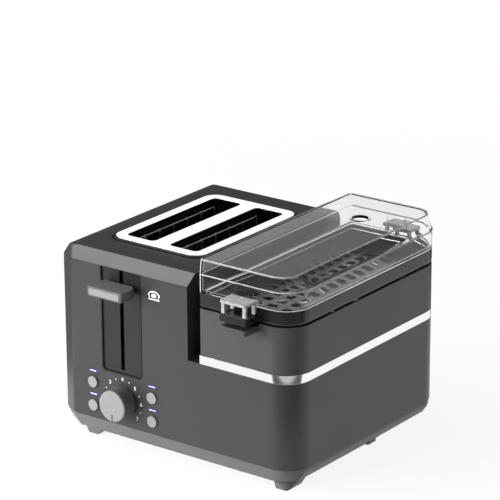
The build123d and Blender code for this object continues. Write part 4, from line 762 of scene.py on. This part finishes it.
def makeScrew(look):
    # domed head pointing down and the shank above; the cross is cut into the head by the crossScrews group
    work = bmesh.new()
    for sides, lower, upper, length, side in (
            (look["headSides"], look["headRadius"] * look["crownShare"], look["headRadius"], look["headHeight"], -1),
            (look["shankSides"], look["shankRadius"], look["shankRadius"], look["shankLength"], 1)):
        cone = bmesh.ops.create_cone(work, cap_ends=True, segments=sides, radius1=lower * mm, radius2=upper * mm,
                                     depth=length * mm)
        bmesh.ops.translate(work, verts=cone["verts"], vec=(0, 0, side * length / 2 * mm))
    mesh = bpy.data.meshes.new("screwPattern")
    work.to_mesh(mesh)
    work.free()
    return mesh


screwPattern = bpy.data.objects.new("screwPattern", makeScrew(crossScrew))
sceneObjects.link(screwPattern)
group, source, sink = newGroup("crossScrews", {
    "Pattern": "NodeSocketObject", "Slot Size": "NodeSocketVector", "Drop": "NodeSocketVector",
    "Finish": "NodeSocketMaterial"})
pattern = addNode(group, "GeometryNodeObjectInfo", {}, {"Object": source.outputs["Pattern"]})
bar = addNode(group, "GeometryNodeMeshCube", {}, {"Size": source.outputs["Slot Size"]})
cut = addNode(group, "GeometryNodeMeshBoolean", {"operation": "DIFFERENCE", "solver": "EXACT"},
              {"Mesh 1": pattern.outputs["Geometry"]})
for angle in (0, 90):
    slotBar = addNode(group, "GeometryNodeTransform", {"Rotation": (0.0, 0.0, math.radians(angle))},
                      {"Geometry": bar.outputs["Mesh"], "Translation": source.outputs["Drop"]})
    group.links.new(slotBar.outputs[0], cut.inputs["Mesh 2"])
screws = addNode(group, "GeometryNodeInstanceOnPoints", {},
                 {"Points": source.outputs["Geometry"], "Instance": cut.outputs["Mesh"]})
closeGroup(group, screws, source, sink)
crossScrews = grow("crossScrews", group, {
    "Pattern": screwPattern, "Slot Size": [v * mm for v in crossScrew["slot"]],
    "Drop": [0.0, 0.0, -crossScrew["headHeight"] * mm], "Finish": finish["sheetSteel"]},
    "base", crossScrew["places"])
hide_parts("base_screws")
bpy.data.objects.remove(screwPattern)
print("screws placed")

# floor, light and camera
studio = {
    "floorSize": 9.0, "floorColour": "#f2f2f2", "floorColour2": "#f6f6f6",
    # the camera sees the paper's own shade near the object, and plain white further out
    "nearShare": 0.88, "nearRadius": 0.35, "farRadius": 1.1,
    # painted shade in what mirrors show of the paper: darker to one side and behind
    "sideways": (0.6, -0.8, 0.0),
    "paintedMirrorShade": ((0.285, 1.0), (0.30, 0.1), (0.405, 0.12), (0.425, 0.6), (0.5, 0.5), (0.6, 0.3)),
    "backwards": (-0.8, 0.6, 0.0), "behindReach": (0.12, 0.2), "behindPaintedShade": 0.12,
    # the room is dim at eye level and pale overhead
    "worldRise": (0.38, 1.0), "worldLow": 0.09, "worldHigh": 0.65, "throughLid": 0.65,
}
floorMesh = bpy.data.meshes.new("studioFloor")
half = studio["floorSize"] / 2
floorMesh.from_pydata([(-half, -half, 0), (half, -half, 0), (half, half, 0), (-half, half, 0)], [], [(0, 1, 2, 3)])
studioFloor = bpy.data.objects.new("studioFloor", floorMesh)
sceneObjects.link(studioFloor)
# matt studio paper: a diffuse sheet where the shadow falls, and an even white elsewhere
floorMaterial, tree, place = newMaterial("paleStudioPaper")
paper = addNode(tree, "ShaderNodeTexNoise", {"Scale": 60.0, "Detail": 4.0}, {"Vector": place})
paperTone = addNode(tree, "ShaderNodeMix", {"data_type": "RGBA", 6: toLinear(studio["floorColour"]),
                                            7: toLinear(studio["floorColour2"])}, {0: paper.outputs["Fac"]})
sheet = addNode(tree, "ShaderNodeBsdfDiffuse", {}, {"Color": paperTone.outputs[2]})
reach = addNode(tree, "ShaderNodeVectorMath", {"operation": "LENGTH"}, {0: place})
share = addNode(tree, "ShaderNodeMapRange", {
    "From Min": studio["nearRadius"], "From Max": studio["farRadius"], "To Min": studio["nearShare"], "To Max": 1.0},
    {"Value": reach.outputs["Value"]})
ray = addNode(tree, "ShaderNodeLightPath").outputs
seenShare = addNode(tree, "ShaderNodeMath", {"operation": "MULTIPLY"}, {0: ray["Is Camera Ray"], 1: share.outputs[0]})
mirrored = addNode(tree, "ShaderNodeMath", {"operation": "MAXIMUM"},
                   {0: ray["Is Glossy Ray"], 1: ray["Is Transmission Ray"]})
whiteShare = addNode(tree, "ShaderNodeMath", {"operation": "MAXIMUM"},
                     {0: seenShare.outputs[0], 1: mirrored.outputs[0]})
sideways = addNode(tree, "ShaderNodeVectorMath", {"operation": "DOT_PRODUCT", 1: studio["sideways"]}, {0: place})
dim = addNode(tree, "ShaderNodeValToRGB", {}, {0: sideways.outputs["Value"]})
tones = dim.color_ramp.elements
tones.remove(tones[0])
for i, (position, tone) in enumerate(studio["paintedMirrorShade"]):
    stop = tones.new(position) if i else tones[0]
    stop.position, stop.color = position, (tone, tone, tone, 1.0)
backwards = addNode(tree, "ShaderNodeVectorMath", {"operation": "DOT_PRODUCT", 1: studio["backwards"]}, {0: place})
behind = addNode(tree, "ShaderNodeMapRange", {
    "From Min": studio["behindReach"][0], "From Max": studio["behindReach"][1], "To Min": 1.0,
    "To Max": studio["behindPaintedShade"]}, {"Value": backwards.outputs["Value"]})
paintedShadeLevel = addNode(tree, "ShaderNodeMath", {"operation": "MULTIPLY"}, {0: dim.outputs[0], 1: behind.outputs[0]})
# a ray through the lid counts as glossy too, and has to find the paper white
mirrorOnly = addNode(tree, "ShaderNodeMath", {"operation": "SUBTRACT", "use_clamp": True},
                     {0: ray["Is Glossy Ray"], 1: ray["Is Transmission Ray"]})
# mirrors see the paper at its painted shade; the camera and rays through the lid see it white
whiteLevel = addNode(tree, "ShaderNodeMix", {"data_type": "FLOAT", 2: 1.0},
                     {0: mirrorOnly.outputs[0], 3: paintedShadeLevel.outputs[0]})
white = addNode(tree, "ShaderNodeEmission", {"Color": toLinear("#ffffff")}, {"Strength": whiteLevel.outputs[0]})
mixed = addNode(tree, "ShaderNodeMixShader", {}, {0: whiteShare.outputs[0], 1: sheet.outputs[0], 2: white.outputs[0]})
floorMesh.materials.append(closeMaterial(floorMaterial, mixed))

world = bpy.data.worlds.new("studioWorld")
world.use_nodes = True
bpy.context.scene.world = world
tree = world.node_tree
tree.nodes.clear()
worldOutput = addNode(tree, "ShaderNodeOutputWorld")
heading = addNode(tree, "ShaderNodeTexCoord")
split = addNode(tree, "ShaderNodeSeparateXYZ", {}, {"Vector": heading.outputs["Generated"]})
skyLevel = addNode(tree, "ShaderNodeMapRange", {
    "From Min": studio["worldRise"][0], "From Max": studio["worldRise"][1],
    "To Min": studio["worldLow"], "To Max": studio["worldHigh"]}, {"Value": split.outputs["Z"]})
ray = addNode(tree, "ShaderNodeLightPath").outputs
# light that has come through the clear lid finds a pale room all round, so its edges stay pale
pastLid = addNode(tree, "ShaderNodeMath", {"operation": "GREATER_THAN", 1: 0.5}, {0: ray["Transmission Depth"]})
roomLevel = addNode(tree, "ShaderNodeMix", {"data_type": "FLOAT", 3: studio["throughLid"]},
                    {0: pastLid.outputs[0], 2: skyLevel.outputs[0]})
ambient = addNode(tree, "ShaderNodeBackground", {"Color": toLinear("#ffffff")}, {"Strength": roomLevel.outputs[0]})
backdrop = addNode(tree, "ShaderNodeBackground", {"Color": toLinear("#ffffff"), "Strength": 1.0})
seen = addNode(tree, "ShaderNodeMath", {"operation": "MAXIMUM"},
               {0: ray["Is Camera Ray"], 1: ray["Is Transmission Ray"]})
mixed = addNode(tree, "ShaderNodeMixShader", {}, {0: seen.outputs[0], 1: ambient.outputs[0], 2: backdrop.outputs[0]})
tree.links.new(mixed.outputs[0], worldOutput.inputs["Surface"])

# direction is the compass angle from the front towards the right side, then the height above the horizon
softboxes = {
    "frontSoftbox": {"direction": (-37, 9), "distance": 1.5, "size": (1.2, 0.66), "power": 52.0, "aim": (0, 0, 0.12),
                     "mirrored": False},
    "leftSoftbox": {"direction": (-77, 54), "distance": 1.5, "size": (0.9, 0.9), "power": 12.0, "aim": (0, 0, 0.15)},
    "rightSoftbox": {"direction": (110, 28), "distance": 1.6, "size": (1.1, 0.8), "power": 2.0, "aim": (0, 0, 0.12)},
    "rearPanel": {"direction": (-143.2, 19.2), "distance": 0.8, "size": (0.3, 0.26), "power": 0.26,
                  "aim": (-0.056, 0.007, 0.187), "lights": "slot_trim"},
    "topSoftbox": {"direction": (60, 82), "distance": 1.8, "size": (1.2, 1.2), "power": 4.0, "aim": (0, 0, 0.12)},
}
for boxName, box in softboxes.items():
    lamp = bpy.data.lights.new(boxName, "AREA")
    lamp.shape = "RECTANGLE"
    lamp.size, lamp.size_y = box["size"]
    lamp.energy = box["power"]
    angle, height = (math.radians(v) for v in box["direction"])
    away = Vector((math.sin(angle) * math.cos(height), -math.cos(angle) * math.cos(height), math.sin(height)))
    holder = bpy.data.objects.new(boxName, lamp)
    holder.location = Vector(box["aim"]) + away * box["distance"]
    holder.rotation_mode = "QUATERNION"
    holder.rotation_quaternion = (-away).to_track_quat("-Z", "Y")
    holder.visible_camera = False
    holder.visible_glossy = holder.visible_transmission = box.get("mirrored", True)
    if "lights" in box:
        # a small panel set for one polished piece, so it doesn't grey the plastic round it
        lit = bpy.data.collections.new(boxName + "Pieces")
        lit.objects.link(soft[box["lights"]])
        holder.light_linking.receiver_collection = lit
    sceneObjects.link(holder)

cameraView = {
    "azimuth": 36.85, "elevation": 19.21, "roll": -0.33, "lens": 202.97, "sensor": 36.0, "distance": 2.723,
    "target": (0.0, 0.0, 0.108), "across": 0.0012, "upward": 0.0631, "clip": (0.1, 30.0),
}
azimuth, elevation, roll = (math.radians(cameraView[key]) for key in ("azimuth", "elevation", "roll"))
backward = Vector((math.sin(azimuth) * math.cos(elevation), -math.cos(azimuth) * math.cos(elevation),
                   math.sin(elevation)))
levelAxis = Vector((math.cos(azimuth), math.sin(azimuth), 0.0))
upright = backward.cross(levelAxis)
rightward = levelAxis * math.cos(roll) + upright * math.sin(roll)
upward = upright * math.cos(roll) - levelAxis * math.sin(roll)
cameraData = bpy.data.cameras.new("mainCamera")
cameraData.lens = cameraView["lens"]
cameraData.sensor_width = cameraView["sensor"]
cameraData.clip_start, cameraData.clip_end = cameraView["clip"]
camera = bpy.data.objects.new("mainCamera", cameraData)
standpoint = (Vector(cameraView["target"]) + backward * cameraView["distance"] + rightward * cameraView["across"]
              + upward * cameraView["upward"])
camera.matrix_world = Matrix((
    (rightward.x, upward.x, backward.x, standpoint.x),
    (rightward.y, upward.y, backward.y, standpoint.y),
    (rightward.z, upward.z, backward.z, standpoint.z),
    (0.0, 0.0, 0.0, 1.0),
))
sceneObjects.link(camera)
bpy.context.scene.camera = camera
bpy.context.scene.view_settings.view_transform = "Standard"
print("studio set")
